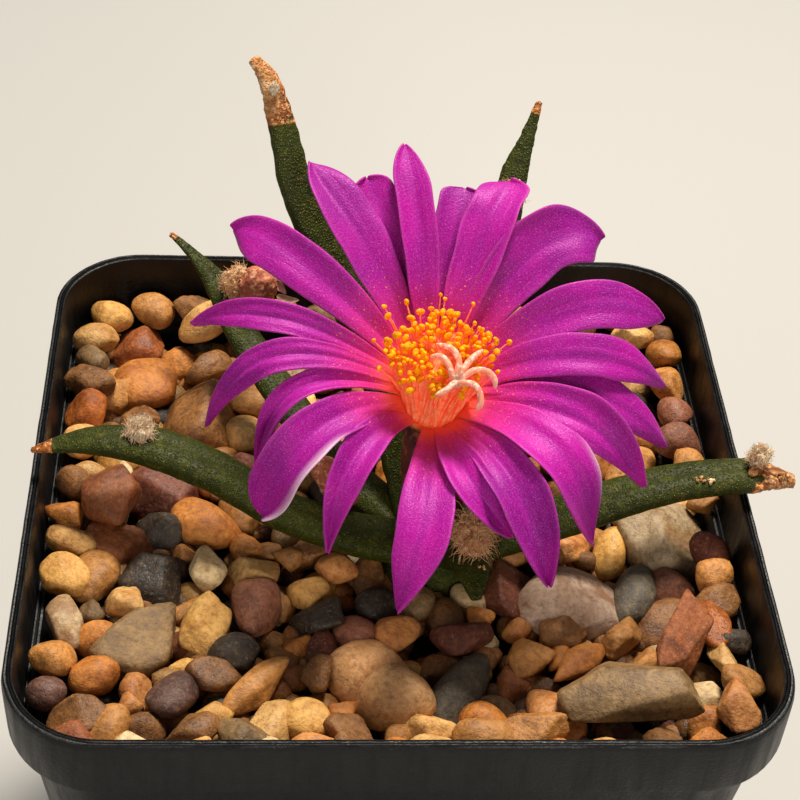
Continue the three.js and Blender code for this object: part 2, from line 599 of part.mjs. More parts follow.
// Stamens: a thin ring that lines the throat, and filaments with anthers that stand on it
function stamenSolid() {
  const axis = new THREE.Vector3(0, 0, 1);
  const inset = TUBE_WALL + CLEARANCE;
  const low = THROAT_FLOOR + CLEARANCE;
  const bore = 0.95;
  const ring = solidOf(loft([
    tubeRing(new THREE.Vector3(0, 0, low), axis, tubeRadius(low) - inset),
    tubeRing(new THREE.Vector3(0, 0, -2.6), axis, tubeRadius(-2.6) - inset),
    tubeRing(new THREE.Vector3(0, 0, -1), axis, tubeRadius(-1) - inset),
    tubeRing(new THREE.Vector3(0, 0, -1.4), axis, tubeRadius(-1) - inset - 0.9),
    tubeRing(new THREE.Vector3(0, 0, -3.4), axis, bore + 0.35),
  ]));
  const hole = new THREE.CylinderGeometry(bore, bore, 12, 12);
  hole.rotateX(Math.PI / 2);
  const draw = makeDraw(11);
  const pistilRoom = pistilSolid(CLEARANCE);
  const petalRoom = petalsSolid(0.25);
  const pieces = [];
  for (let k = 0; k < STAMENS; k++) {
    const azimuth = k * GOLDEN_ANGLE;
    const share = Math.sqrt((k + 0.5) / STAMENS);
    const outward = lerp(0.2, 1, share);
    const level = 2 * draw() - 1;
    const tip = polar([azimuth + 14 * (draw() - 0.5), outward, level])
      .multiply(new THREE.Vector3(...ANTHER_CLOUD.half))
      .add(new THREE.Vector3(...ANTHER_CLOUD.place));
    const root = polar([azimuth, 1.35 + 1.15 * share, -3.6 + 1.6 * share]);
    const filament = roundSweep([root, tip], 1, () => FILAMENT_RADIUS, 3, new THREE.Vector3(0, 1, 0.01));
    const anther = new THREE.OctahedronGeometry(0.5, 0);
    anther.scale(ANTHER_WIDTH, ANTHER_WIDTH, ANTHER_LENGTH);
    anther.rotateX(radians(80 * draw()));
    anther.rotateZ(radians(360 * draw()));
    anther.translate(tip.x, tip.y, tip.z);
    const stamen = filament.add(solidOf(anther));
    const clear = [pistilRoom, petalRoom].every((room) => stamen.intersect(room).volume() < 1e-9);
    if (clear) pieces.push(stamen);
  }
  const ringBody = ring.subtract(solidOf(hole));
  return mainBody(joined([ringBody, ...pieces]).subtract(pistilRoom).subtract(petalRoom));
}

// Materials
const finish = (color, roughness) => new THREE.MeshStandardMaterial({ color, roughness, metalness: 0 });
const BLACK_PLASTIC = finish(0x16171a, 0.45);
const COMPOST = finish(0x2e2118, 0.95);
const PEBBLE = finish(0xa67c52, 0.7);
const GREEN_SKIN = finish(0x55652c, 0.6);
const WOOL = finish(0xb59a78, 1);
const YOUNG_FRUIT = finish(0x8c4038, 0.5);
const MAGENTA = finish(0xb8209c, 0.45);
const ORANGE = finish(0xf39a12, 0.7);
const PALE_PINK = finish(0xf4b8a4, 0.5);

const part = new THREE.Group();
function addNode(parent, name, solid, material) {
  const mesh = new THREE.Mesh(geometryOf(solid), material);
  mesh.name = name;
  parent.add(mesh);
}

// Pot and fill
const plantRoom = plantSolid(CLEARANCE);
addNode(part, "pot", potSolid(), BLACK_PLASTIC);
addNode(part, "soil", soilSolid(plantRoom), COMPOST);
addNode(part, "gravel", gravelSolid(plantRoom), PEBBLE);
const tubeRoom = tubeSolid(CLEARANCE).transform(bloomTurn.elements);
addNode(part, "cactus_body", lighter(mainBody(plantSolid(0).subtract(tubeRoom)), 0.02), GREEN_SKIN);

// Wool and fruits keep clear of the plant, of the tube and of each other
const fruits = Object.entries(FRUITS).map(([name, shape], k) => [name, fruitSolid(shape, 40 + k), shape]);
const grown = (shape) => ({ ...shape, half: shape.half.map((h) => h + CLEARANCE) });
const fruitRoom = joined(fruits.map(([, , shape], k) => fruitSolid(grown(shape), 40 + k)));
const solidRoom = plantRoom.add(tubeRoom);
for (const [name, solid] of fruits) {
  addNode(part, `fruit_${name}`, mainBody(solid.subtract(solidRoom)), YOUNG_FRUIT);
}
const woolRoom = solidRoom.add(fruitRoom);
Object.entries(TUFTS).forEach(([name, shape], k) => {
  addNode(part, `wool_${name}`, mainBody(tuftSolid(shape, 50 + k).subtract(woolRoom)), WOOL);
});
const belowCrown = solidOf(loft([
  roundedSquare(POT_WIDTH, POT_CORNER, 0),
  roundedSquare(POT_WIDTH, POT_CORNER, POT_HEIGHT + CROWN[2] - 0.6),
]));
const frontTuft = tuftSolid(grown(TUFTS.front), 50 + Object.keys(TUFTS).indexOf("front"));
const crownTuft = tuftSolid(CROWN_TUFT, 60, CROWN_TUFT_FACETS).subtract(woolRoom).subtract(frontTuft).subtract(belowCrown);
addNode(part, "wool_crown", lighter(mainBody(crownTuft), 0.05), WOOL);

// Bloom, in a frame of its own
const bloom = new THREE.Group();
bloom.position.copy(fromRim(BLOOM_PLACE));
bloom.rotation.x = radians(BLOOM_TILT);
part.add(bloom);
addNode(bloom, "flower", lighter(mainBody(tubeSolid(0).add(petalsSolid(0))), 0.02), MAGENTA);
addNode(bloom, "stamens", stamenSolid(), ORANGE);
addNode(bloom, "pistil", pistilSolid(0), PALE_PINK);

export default part;
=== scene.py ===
"""A living rock cactus in flower in its square pot: its looks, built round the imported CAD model.

Shapes are worked out in millimetres and made metres when a piece is finished. The places of the
plant, its wool, fruits, crusts and shreds are measured from the middle of the pot's rim, and
from_rim() turns them into the part's frame. Stones have their x and y alone.
"""

import math

import bmesh
import bpy
from mathutils import Matrix, Vector, noise


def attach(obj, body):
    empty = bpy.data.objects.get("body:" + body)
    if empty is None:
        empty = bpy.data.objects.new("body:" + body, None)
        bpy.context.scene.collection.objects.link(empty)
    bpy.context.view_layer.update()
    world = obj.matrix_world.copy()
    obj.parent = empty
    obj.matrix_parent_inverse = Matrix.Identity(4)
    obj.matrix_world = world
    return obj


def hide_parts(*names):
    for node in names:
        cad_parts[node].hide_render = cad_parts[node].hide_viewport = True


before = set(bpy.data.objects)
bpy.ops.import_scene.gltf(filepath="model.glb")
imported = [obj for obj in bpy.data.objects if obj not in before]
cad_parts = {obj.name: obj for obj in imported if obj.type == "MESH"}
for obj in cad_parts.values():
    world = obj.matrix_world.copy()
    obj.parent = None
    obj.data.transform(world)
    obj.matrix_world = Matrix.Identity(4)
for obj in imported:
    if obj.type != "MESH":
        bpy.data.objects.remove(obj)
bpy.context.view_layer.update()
scene = bpy.context.scene

MM = 0.001
BODY = "root"

# Camera, its place in millimetres, and lamps: name, place and aim in metres, size, power and colour
CAMERA_PLACE = (-11.9, -141.6, 194.0)
CAMERA_FORWARD = (0.066, 0.761, -0.646)
CAMERA_RIGHT = (0.998, -0.043, 0.052)
CAMERA_LENS = 88.0
CAMERA_SENSOR = 36
LAMPS = [
    ("key", (0.08, 0.2, 0.52), (0, 0, 0.06), 0.13, 4.6, (1, 0.93, 0.82)),
    ("fill", (-0.3, -0.38, 0.32), (0, 0, 0.05), 0.3, 0.5, (1, 0.94, 0.86)),
    ("front", (0.12, -0.46, 0.24), (0, 0, 0.06), 0.12, 0.85, (1, 0.93, 0.84)),
]
SKY_COLOUR = (0.85, 0.88, 0.92, 1)
SKY_STRENGTH = 0.2
FLOOR_SIZE = 4

# Pot: its rings from the foot up the outside, over the rim and down the inside, each a width,
# a corner radius and a height
POT_HEIGHT = 65
CORNER_STEPS = 14
SIDE_STEPS = 36
POT_RINGS = [
    (53.2, 6.6, 0), (53.8, 6.9, 0.1), (54.1, 7, 0.4), (57.3, 7.3, 15), (60.6, 7.6, 30), (63.9, 7.8, 45),
    (66.9, 8, 58.2), (67, 8, 58.45), (67.3, 8.1, 58.52), (69.1, 8.8, 58.6), (69.6, 9, 58.8),
    (69.75, 9, 59.2), (69.9, 9, 62), (70, 9, 64.3), (69.96, 9, 64.65), (69.8, 8.9, 64.9),
    (69.5, 8.8, 65), (69.25, 8.8, 64.98), (69.1, 8.7, 64.84), (68.95, 8.7, 64.96), (68.7, 8.6, 65),
    (68.55, 8.5, 64.85), (68.4, 8.4, 64.96), (68.15, 8.3, 64.88), (68, 8.2, 64.6), (67.95, 8, 62),
    (67.5, 8, 58.8), (67.2, 8, 58.4), (66.8, 7.9, 58.25), (66.4, 7.8, 58.42), (66, 7.6, 58.38),
    (65.6, 7.4, 58), (65, 7.1, 57.6), (64.8, 7, 57.2), (58.6, 6.5, 30), (52.6, 6.1, 1.4), (51.9, 5.8, 1),
]
DRAIN_DIAMETER = 5.5
DRAINS = [(-18, -18), (0, -18), (18, -18), (-18, 0), (18, 0), (-18, 18), (0, 18), (18, 18)]
DRAIN_CUT = 6
RIM_ROUGHNESS = 0.05
RIM_ROUGH_FROM = 64.2
RIM_ROUGH_RISE = 0.4
SHARP_EDGE = 38

# Large stones: the level of their tops, measured from the rim, and the CAD's rule for their places
GRAVEL_LEVEL = -5.8
GRAVEL_FALL = 0.03
STONE_FLATNESS = 0.68
STONE_ROOM = 31.5
STONE_CORNER = 7.5
STONE_SPACING = 0.185
FILL_STONES = 96
FILL_TRIES = 6000

# How the large stones that show differ from the CAD's, and which get the finer meshes
STONE_SPREAD = (1.04, 1.03)
STONE_SWELL = 1.1
STONE_USUAL_HEIGHT = 3.2
STONE_RISE = 0.3
STONE_UNEVENNESS = 1.2
LONG_STONE = 8
FINEST_MESH_LENGTH = 11.3
FINE_MESH_GIRTH = 8.4

# How far stones are tipped, in degrees: long ones, other large ones, small ones
LONG_TIP = 24
LARGE_TIP = 40
SMALL_TIP = 60

# The block that a stone is worn from, sharp and round: power of its edges, number and depth of flats
BLOCK_EDGES = (60, 5)
BLOCK_FLATS = (13, 9)
BLOCK_DEPTHS = (0.42, 0.72)
BLOCKY_WEAR = 0.6
COMMON_WEAR = 1.3

# Room between the pot's walls, and above its ledge, which thick stones lie on
WALL_ROOM = 33.6
LEDGE_ROOM = 32.2
LEDGE_LEVEL = -6.8
THICK_STONE = 4.9

# Small stones in the gaps, and the bed under all
SMALL_STONES = 210
SMALL_TRIES = 12000
SMALL_ROOM = 32.6
SMALL_GAP = 0.45
SMALL_DEPTH = 0.7
SMALL_UNEVENNESS = 1.1
BED_STONES = 900
BED_DEPTH = 4.3
BED_UNEVENNESS = 1.5
# Share of their colour that the bed stones keep: painted shade for the deep gaps between the stones above
# them
BED_PAINTED_SHADE = 0.6

# Plant
CROWN = (4, -4.5, -3)
CROWN_RADIUS = 6
CROWN_FLAT = 3
TAPROOT_LENGTH = 34
TUBERCLE_THICKNESS = 0.62
TUBERCLE_SIDES = 56
TUBERCLE_RINGS = 120

# Each tubercle: x, y, height above the rim and width at its points; the share of its length past
# which it has dried, above 1 for not at all; and how ragged the dry end is
TUBERCLES = {
    "left": ([(3, -5, -5.5, 5.6), (-3.5, -5.4, -3.6, 5.3), (-10.4, -5, -1, 5), (-16.8, -3, 2, 5.2),
              (-22.4, -1.2, 3.4, 5.2), (-28, -0.6, 3.9, 3.8), (-32, -0.7, 3.4, 2.1),
              (-34.8, -0.9, 2.7, 0.6)], 0.89, 0.1),
    "right": ([(5, -5, -5.5, 5.6), (11, -5.2, -3.6, 5.3), (18.7, -4.6, -0.8, 5.1),
               (25.3, -3.4, 1, 4.8), (31, -2.9, 1.9, 4.5), (35, -2.8, 2.1, 4.2),
               (37.6, -2.9, 1.9, 2.8), (39.3, -3, 1.6, 1.3)], 0.74, 1),
    "back": ([(3.5, -3, -5, 5.6), (1.5, 3, 0, 5.4), (-1.5, 8.5, 7.5, 5), (-6, 12.8, 15.2, 4.4),
              (-9.5, 16, 21.7, 3.5), (-11.3, 20, 27.4, 2.7), (-12.6, 21.9, 30.7, 2.1),
              (-14, 22.6, 32.4, 1.2)], 0.7, 0.35),
    "back_right": ([(5, -3, -5, 5), (7, 3, 0.5, 4.6), (9, 10, 8.5, 4), (10.7, 16.2, 16.5, 3.6),
                    (12.2, 21.2, 21, 2.7), (13.4, 23.5, 23.5, 1.5), (14.6, 26, 26.2, 0.6)], 0.94, 0.1),
    "back_left": ([(3, -4, -5.5, 5), (-5, 4, -3.4, 4.4), (-11, 12.5, -0.6, 4), (-15.2, 19, 2.2, 3.6),
                   (-17.4, 23.4, 4.2, 3.1), (-20, 25.8, 6.4, 1.4), (-22.7, 27.9, 7.9, 0.6)], 0.96, 0.1),
    "front": ([(4.5, -5, -5.5, 5.6), (6, -8.6, -2.8, 5), (6.9, -11.6, -0.9, 4),
               (7.1, -14.2, -0.5, 3), (7.2, -16.8, -0.9, 1)], 1.1, 0.1),
}

# Crusts of dry crumbs on the skin: middle, spread, how many crumbs, their largest radius, how pale
CRUSTS = [
    ((30, -4.4, 2.75), (0.8, 0.4, 0.12), 16, 0.24, 1), ((7.9, -13.6, 0.2), (0.35, 0.3, 0.1), 6, 0.16, 0.8),
    ((37.5, -3.1, 1.9), (1, 0.8, 0.8), 22, 0.34, 0.5), ((35.2, -3.4, 3.2), (0.5, 0.2, 0.1), 3, 0.7, 0.1),
    ((39, -3, 1.7), (0.1, 0.4, 0.3), 5, 0.2, 1),
]

# How strong each tubercle's cross ripples are, and how pale its dried end is
TUBERCLE_HABITS = {"left": (0.04, 0), "right": (0.05, 0.6), "back": (0.1, 1), "back_right": (0.09, 0.2),
                   "back_left": (0.05, 0), "front": (0.04, 0.7)}

# Wool tufts: middle and half sizes, hairs, how far a hair reaches past the tuft, how much the
# hairs stand up, and how warm the wool's tone is
TUFTS = {
    "left": ((-24.4, -0.6, 5), (1.3, 1.2, 1.25), 2100, 0.25, 0, 0.3),
    "right": ((35.5, -2.3, 4.2), (1.1, 1, 1.25), 1600, 0.1, 0, 0.35),
    "back_right": ((11.7, 18.7, 19.6), (1.4, 1.2, 1.9), 1000, 0.15, 0.1, 0.7),
    "back_left": ((-15.6, 22.4, 5.5), (1.5, 1.4, 2), 1400, 0.35, 0.3, 1),
    "front": ((7.1, -11.1, 1.3), (1.3, 1.3, 2.8), 1700, 0.9, 1.2, 1.2),
    "crown": ((4.2, -4.8, -3.4), (3.4, 3.2, 1.2), 700, 0.4, 0.3, 0.9),
    "tip": ((-11.9, 20.6, 30.2), (0.5, 0.45, 0.8), 400, 0, 0, 0),
}
HAIR_RADIUS = 0.026
HAIR_THINNING = (1, 1, 0.8, 0.4)
HAIR_STEP = (0.21, 0.4)

# Dry shreds of old petals: places along them, width and colour
RAGS = [
    (((-12.2, 24, 1.9), (-12.1, 24, 3.2), (-11.5, 24, 4.2), (-10.4, 24, 3)), 1.3, "#d9a59c"),
    (((-11.4, 24.2, 2.6), (-10.4, 24, 2.2), (-9, 23.6, 2.5)), 0.9, "#b58a78"),
    (((36.4, -3, 3.1), (37.3, -3.2, 3.1), (38.3, -3.3, 2.9)), 0.5, "#c07c44"),
]

# Young fruits: middle, half sizes and lean in degrees
FRUITS = {
    "left": ((-5.6, -2, 0.2), (1.7, 1.6, 3.2), (-40, 8)),
    "front": ((9.4, -4.9, 1), (1.7, 1.6, 3.2), (26, -14)),
    "back_left": ((-13.4, 21.6, 5.8), (2, 1.8, 2.3), (30, 10)),
}

# Flower, in a frame of its own: origin in the middle of the mouth, +Z out of it
BLOOM_PLACE = (3.2, -3.2, 13.5)
BLOOM_TILT = 30
MOUTH_RADIUS = 4.2
THROAT_DEPTH = 6
THROAT_FLOOR = -5.4
TUBE_RADIUS = 2.6
TUBE_WALL = 0.8
TUBE_STEPS = 20
LIP_LEVEL = -1.2
PETAL_ROOT = (3.1, -0.95)
LIP_DIP = (0.5, 1.3)
PETAL_THICKNESS = 0.24
PETAL_GRID = (12, 40)

# Each petal: azimuth of its root; azimuth, reach and lift half way and at its tip; width, cup and
# how far its tip hooks down
PETALS = {
    "top": (98, (97, 13, 3.5), (96, 22.7, 4), 3.5, 0.08, 0),
    "top_right_back": (85, (82, 13, 2.5), (81, 18.8, 3), 4.4, 0.06, 0),
    "top_right": (70, (71, 13.5, 3.6), (71, 20.8, 3), 4.8, 0.14, 0.4),
    "right_back": (53, (51, 14.5, 3.5), (44, 21.5, 3), 6, 0.12, 0.6),
    "right_upper": (29, (25, 13.8, 4), (17, 22.5, 2), 4.6, 0.08, 0.4),
    "right": (8, (7, 12.5, 4), (2, 22, 1.6), 4.2, 0.08, 2.6),
    "right_under": (2, (-5, 12.5, 3), (-13, 22.6, -0.6), 4.8, 0.08, 2),
    "right_lower": (-18, (-20, 12.8, 4), (-25, 21.6, 0.6), 4.8, 0.1, 1.6),
    "front_right": (-31, (-37, 12.8, 4.6), (-44, 20.7, -0.4), 5, 0.14, 1.6),
    "front_right_low": (-58, (-59, 12.5, 4), (-62, 21.4, 0), 4.6, 0.12, 0.4),
    "front_slim": (-77, (-75, 10.5, 3.6), (-68, 16.4, 1), 3.8, 0.14, 0),
    "front": (-94, (-96, 13.6, 4), (-99, 22, 1), 5.1, 0.06, 0.4),
    "front_left": (-132, (-132, 11, 4), (-120, 18.7, 0), 3.7, 0.1, 0),
    "left_low": (-156, (-151, 12.8, 4), (-141, 20, -1), 4.8, 0.14, 0),
    "left_slim": (-176, (-171, 12.6, 3.8), (-156, 18.3, -2), 2.7, 0.14, 0.4),
    "left": (170, (177, 14.4, 4.6), (188, 21.6, -2.4), 3.2, 0.1, 1.2),
    "left_upper": (158, (162, 14.6, 4), (165, 23.4, 0.4), 3, 0.12, 0.6),
    "left_back": (138, (140, 15.2, 3.5), (143, 23.8, 1), 4.5, 0.06, 0),
    "top_left": (118, (117, 15, 3), (119, 24, 3), 4.8, 0.1, 0),
    "top_left_back": (106, (107, 14.4, 2), (108, 20.5, 3), 4.2, 0.06, 0),
}

# How each petal differs from a plain blade: the share of its length where its taper starts; how
# far its tip leans to the right, seen from the flower's middle, as a share of its width; how its
# left and right edges turn up, and a fold's place across it at the root and the tip
PETAL_HABITS = {
    "top": (0.74, -0.12, 0.1, 0.05, 0.0, 0.1),
    "top_right_back": (0.86, 0.0, 0.05, 0.1, 0.2, 0.5),
    "top_right": (0.84, 0.08, -0.1, 0.12, -0.3, 0.1),
    "right_back": (0.72, 0.22, 0.1, -0.14, -0.2, 0.35),
    "right_upper": (0.66, 0.12, 0.06, -0.1, 0.1, 0.3),
    "right": (0.62, 0.1, -0.05, -0.12, 0.0, 0.2),
    "right_under": (0.6, 0.0, -0.1, -0.1, 0.0, 0.0),
    "right_lower": (0.52, 0.1, 0.1, -0.12, 0.1, 0.2),
    "front_right": (0.66, 0.1, -0.24, 0.12, -0.3, -0.1),
    "front_right_low": (0.62, 0.04, 0.16, 0.1, -0.1, 0.2),
    "front_slim": (0.6, -0.1, 0.14, 0.12, 0.1, 0.0),
    "front": (0.56, 0.06, 0.12, -0.08, 0.2, 0.1),
    "front_left": (0.52, 0.14, 0.22, 0.12, 0.0, 0.15),
    "left_low": (0.8, 0.05, 0.22, 0.02, 0.1, 0.0),
    "left_slim": (0.56, -0.12, 0.24, -0.14, 0.0, 0.0),
    "left": (0.56, -0.1, -0.18, -0.12, 0.1, 0.0),
    "left_upper": (0.56, -0.1, -0.18, 0.06, 0.1, 0.0),
    "left_back": (0.74, 0.1, -0.14, 0.12, 0.0, 0.2),
    "top_left": (0.64, 0.0, 0.12, -0.1, 0.3, -0.4),
    "top_left_back": (0.82, 0.0, 0.06, 0.06, 0.0, 0.0),
}

# Petals with a bleached edge: which side it is on, where it starts, and how wide it is
PALE_EDGES = {"left_low": (-1, 0.35, 0.3), "front_right": (-1, 0.5, 0.25)}

# Stamens: anthers lie in a flat cloud, given by its middle and half sizes, and a few stray from it
STAMENS = 240
STAMEN_TURN = 137.5
FILAMENT_RADIUS = 0.1
ANTHER_HALF = (0.25, 0.21, 0.36)
ANTHER_CLOUD = ((0.2, 0.9, 5.6), (5.2, 4.1, 0.7))
STRAY_ANTHERS = [(-5.9, 2.2, 5.2), (-4.9, 5.6, 5), (-4.6, 4.6, 5.2), (-2.9, 5.9, 5.4), (0.2, 6.6, 5.6),
                 (0.6, 6.2, 5.6), (3.2, 5.8, 5.4), (-5.4, -0.4, 5), (6.4, 2.2, 5.2)]

# Bundle of filaments: reach and lift of its foot, and of its top in half sizes of the anthers' cloud
BUNDLE_FOOT = (2.85, -2.2)
BUNDLE_TOP = (0.66, -1.6)
BUNDLE_SHOULDER = 0.7
BUNDLE_RIDGES = 45

# Pistil
STIGMA_PLACE = (1.5, -2.1, 6.3)
STYLE_RADIUS = 0.5
LOBE_RADIUS = 0.3

# Stigma lobes: places along each, from the top of the style
STIGMA_LOBES = [
    [(-0.1, 0.5, 0.4), (0.1, 1.7, 0.7), (-0.5, 2.9, 0.7), (-1.85, 3.5, 0.3)],
    [(-0.45, 0.4, 0.4), (-0.9, 1.5, 0.7), (-1.55, 2.2, 0.6), (-2.4, 2.35, 0.2)],
    [(0.2, 0.5, 0.4), (1.1, 1.8, 0.7), (2.3, 2.95, 0.5)],
    [(0.5, 0.3, 0.4), (1.4, 0.85, 0.7), (2.6, 0.85, 0.5), (3.3, 0.3, 0.1), (3.4, -0.5, -0.3)],
    [(0.45, -0.2, 0.4), (1.4, -0.45, 0.6), (1.95, -1.2, 0.3), (2, -2.1, 0), (1.65, -2.5, -0.2)],
    [(-0.4, -0.3, 0.4), (-1, -0.9, 0.5), (-2.05, -1.4, 0.2)],
]

# The stones that show best: x, y, length, width, turn and kind
STONES = [
    (-27.5, -8.5, 6.5, 4.5, 80, "tan"), (-22, -9, 6, 7, 30, "dark"),
    (-31, -15.5, 5.5, 3.5, 95, "quartz"), (-26.5, -16.5, 4, 3.5, 0, "orange"),
    (-22.5, -17, 9, 5.5, 40, "grey"), (-29.5, -27.5, 6, 5, -10, "brown"),
    (-25, -28, 5.5, 3.5, 70, "tan"), (-19.5, -23.5, 6, 4, 70, "purple"),
    (-17, -15, 6, 4, 70, "yellow"), (-18, -28, 5.5, 4.5, 25, "brown"),
    (-14.5, -18, 4.5, 4, 25, "dark"), (-12.5, -22.5, 8, 3, 45, "tan"),
    (-12.5, -12, 7.5, 4.5, 90, "pink"), (-13, -7.5, 5, 4, 30, "cream"),
    (-8, -25.5, 4.5, 4, -25, "yellow"), (-4, -28, 6, 5, -20, "brown"),
    (-3.5, -15, 4, 4, 0, "pink"), (-1.5, -11.5, 4, 4, 0, "dark"),
    (-2.4, -19.6, 7.4, 7, -20, "heart"), (-0.6, -23.2, 7, 6.2, 10, "heart"),
    (5.4, -21.6, 10.2, 4.4, 62, "slate"), (6.3, -15.6, 5.4, 4.4, 20, "red"), (11, -9.3, 6.4, 4.6, 80, "red"),
    (11, -28.5, 6.5, 3.5, 0, "tan"), (20, -26.5, 12, 6.5, -5, "grey"),
    (16.5, -18.5, 7, 2.8, 45, "orange"), (19.5, -20.5, 6.5, 4, 35, "brown"),
    (16.7, -10, 10.6, 8, 10, "milk"), (21, -15, 6, 3, 60, "tan"),
    (26, -17, 10.5, 4, 70, "rust"), (29, -15, 6.5, 3, -90, "amber"),
    (27, -22.5, 5, 3, 15, "white"), (30.5, -25, 5.5, 3.5, -85, "peach"),
    (22.8, -9.5, 7.2, 3.8, 75, "slate"), (26.4, -8.2, 4.8, 4.4, -35, "pink"),
    (21.5, -3, 5.6, 3.2, 70, "yellow"), (26.6, -2.2, 8.6, 8.2, -50, "quartz"),
    (-29.5, 1, 8.5, 5.5, 95, "rust"), (-26, 3, 8.5, 2.5, 87, "white"),
    (-22, 3.5, 7, 6, -5, "red"), (-25.5, -4, 7, 5.5, 20, "rust"),
    (-17.5, -1.5, 7, 5, -20, "orange"), (-19, 15.5, 8, 10, 0, "brown"),
    (-29, 19.5, 5.5, 7, 0, "tan"), (-24.5, 20, 7, 7, -15, "orange"),
    (-25.5, 26, 7, 5.5, 75, "rust"), (-18.5, 28.5, 6, 4.5, 15, "cream"),
    (-18, 23.5, 5.5, 4, 15, "brown"), (-10.5, 21.5, 6, 6, -30, "quartz"),
    (25.5, 28, 5.5, 4.5, 0, "yellow"), (29.5, 29, 4.5, 4.5, -15, "cream"),
    (26.5, 19.5, 6, 5, -15, "dark"), (27.5, 14.5, 5, 4.5, -45, "orange"),
    (30, 10, 5, 4, -15, "pink"), (25, 9, 6.5, 3.5, 40, "tan"),
]

# Stones that lie along the pot's wall, on its ledge
WALL_STONES = [
    (-29.5, 30, 4.8, 4.2, 0, "yellow"), (-31, 26, 5, 4, -5, "cream"), (-25, 31, 4.8, 4.4, 0, "tan"),
    (-20.5, 31.5, 5, 4, 10, "brown"), (-15.8, 31.4, 5, 4.2, -30, "orange"), (-11, 31, 4.8, 4.4, 20, "tan"),
    (-6, 31.4, 5, 4, 0, "grey"), (-1, 31, 5, 4.2, 30, "brown"), (4, 31.4, 4.6, 4, 0, "cream"),
    (9, 31, 5, 4.2, 60, "orange"), (14, 31.3, 4.8, 4, 20, "tan"), (18.8, 31, 4.8, 4.2, 0, "brown"),
    (23.4, 31.3, 4.4, 4, 30, "cream"), (29, 30.6, 4.6, 4, 40, "tan"), (31.4, 24.6, 4.6, 4, 80, "orange"),
    (31.6, 19.6, 5.2, 3.6, -70, "tan"), (31.6, 15, 4.8, 3.8, -80, "pink"), (31.5, 6, 4.6, 3.8, 80, "tan"),
    (-31.5, 13.8, 5, 4.4, 80, "amber"), (-31.4, 9, 4.8, 4, 80, "cream"), (-31.6, -5.2, 5.4, 3.6, 5, "cream"),
    (-31.2, -10.2, 5.2, 4.4, -30, "yellow"), (-31.4, -20.4, 4.6, 4, 10, "tan"),
    (-31.6, -24.6, 3.8, 3.4, 0, "purple"), (31.2, -9.5, 4.4, 3.8, 60, "tan"),
    (31.4, -19.5, 6, 2.6, -85, "cream"), (-24, -31.4, 4.8, 3.8, 5, "white"),
    (-11.5, -31.6, 5, 3.2, 0, "white"), (3, -31.4, 5.4, 3.6, 10, "cream"),
    (27.6, -30.6, 4.2, 3.4, -10, "orange"),
]

# Kinds of stone: main colour, second colour, and how far it is speckled and stained
STONE_KINDS = {
    "tan": ("#c08444", "#96622c", 0.2, 0.0),
    "cream": ("#deb06c", "#b98344", 0.2, 0.1),
    "yellow": ("#d2a056", "#b17c38", 0.15, 0.0),
    "orange": ("#bf7a34", "#96541e", 0.2, 0.1),
    "amber": ("#b5621c", "#7e3c10", 0.3, 0.0),
    "peach": ("#cb8b4e", "#a86532", 0.2, 0.0),
    "pink": ("#a3664a", "#7b4a36", 0.3, 0.0),
    "brown": ("#8d5e30", "#633e1e", 0.3, 0.0),
    "rust": ("#99552c", "#6c391c", 0.3, 0.2),
    "red": ("#763f2c", "#54291e", 0.4, 0.2),
    "purple": ("#66453a", "#47312c", 0.2, 0.0),
    "dark": ("#40352a", "#29221c", 0.3, 0.0),
    "slate": ("#6a5e4c", "#453e35", 0.3, 0.0),
    "grey": ("#876a44", "#60482c", 0.2, 0.1),
    "quartz": ("#b8a17f", "#93764e", 0.0, 0.4),
    "white": ("#e4c998", "#c29f6a", 0.1, 0.1),
    "milk": ("#c6ad98", "#a8866c", 0.0, 0.6),
    "heart": ("#e2ac74", "#c48c54", 0.15, 0.0),
}
ROUND_KINDS = ("slate", "purple", "pink", "milk", "heart")
BLOCKY_KINDS = ("grey", "rust", "red", "brown", "amber", "white", "quartz")
COMMON_KINDS = ("tan", "brown", "orange", "rust", "cream", "tan", "purple", "dark", "yellow", "red",
                "brown", "tan", "peach", "orange", "peach", "white", "brown", "yellow", "slate", "orange",
                "tan", "cream", "brown", "grey")


def draws(seed):
    """A function that gives the next of an endless row of even draws from 0 to 1."""
    state = [seed]

    def draw():
        state[0] = (state[0] * 1664525 + 1013904223) % 4294967296
        return state[0] / 4294967296

    return draw


def from_rim(place):
    """A place measured from the middle of the pot's rim, in the part's frame."""
    return Vector((place[0], place[1], place[2] + POT_HEIGHT))


def lerp(low, high, share):
    return low + (high - low) * share


def clamp(value, low=0.0, high=1.0):
    return max(low, min(high, value))


def eased(value):
    value = clamp(value)
    return value * value * (3 - 2 * value)


def paint(code):
    """The linear colour of a plain web colour code."""
    shades = [int(code[k:k + 2], 16) / 255 for k in (1, 3, 5)]
    linear = [s / 12.92 if s <= 0.04045 else ((s + 0.055) / 1.055) ** 2.4 for s in shades]
    return (*linear, 1.0)


# Shader nodes

def fill_inputs(tree, made, inputs):
    """Sets a node's inputs to values, or links them to sockets."""
    for key, value in inputs.items():
        if isinstance(value, bpy.types.NodeSocket):
            tree.links.new(value, made.inputs[key])
        else:
            made.inputs[key].default_value = value


def node(tree, kind, inputs=None, **settings):
    """A shader node with its settings and inputs."""
    made = tree.nodes.new("ShaderNode" + kind)
    for key, value in settings.items():
        setattr(made, key, value)
    fill_inputs(tree, made, inputs or {})
    return made


def mixed(tree, share, first, second, blend="MIX"):
    made = node(tree, "Mix", {0: share, 6: first, 7: second}, data_type="RGBA", blend_type=blend)
    return made.outputs[2]


def sums(tree, operation, first, second=0.0, clamped=False):
    return node(tree, "Math", {0: first, 1: second}, operation=operation, use_clamp=clamped).outputs[0]


def times(tree, first, second):
    return sums(tree, "MULTIPLY", first, second)


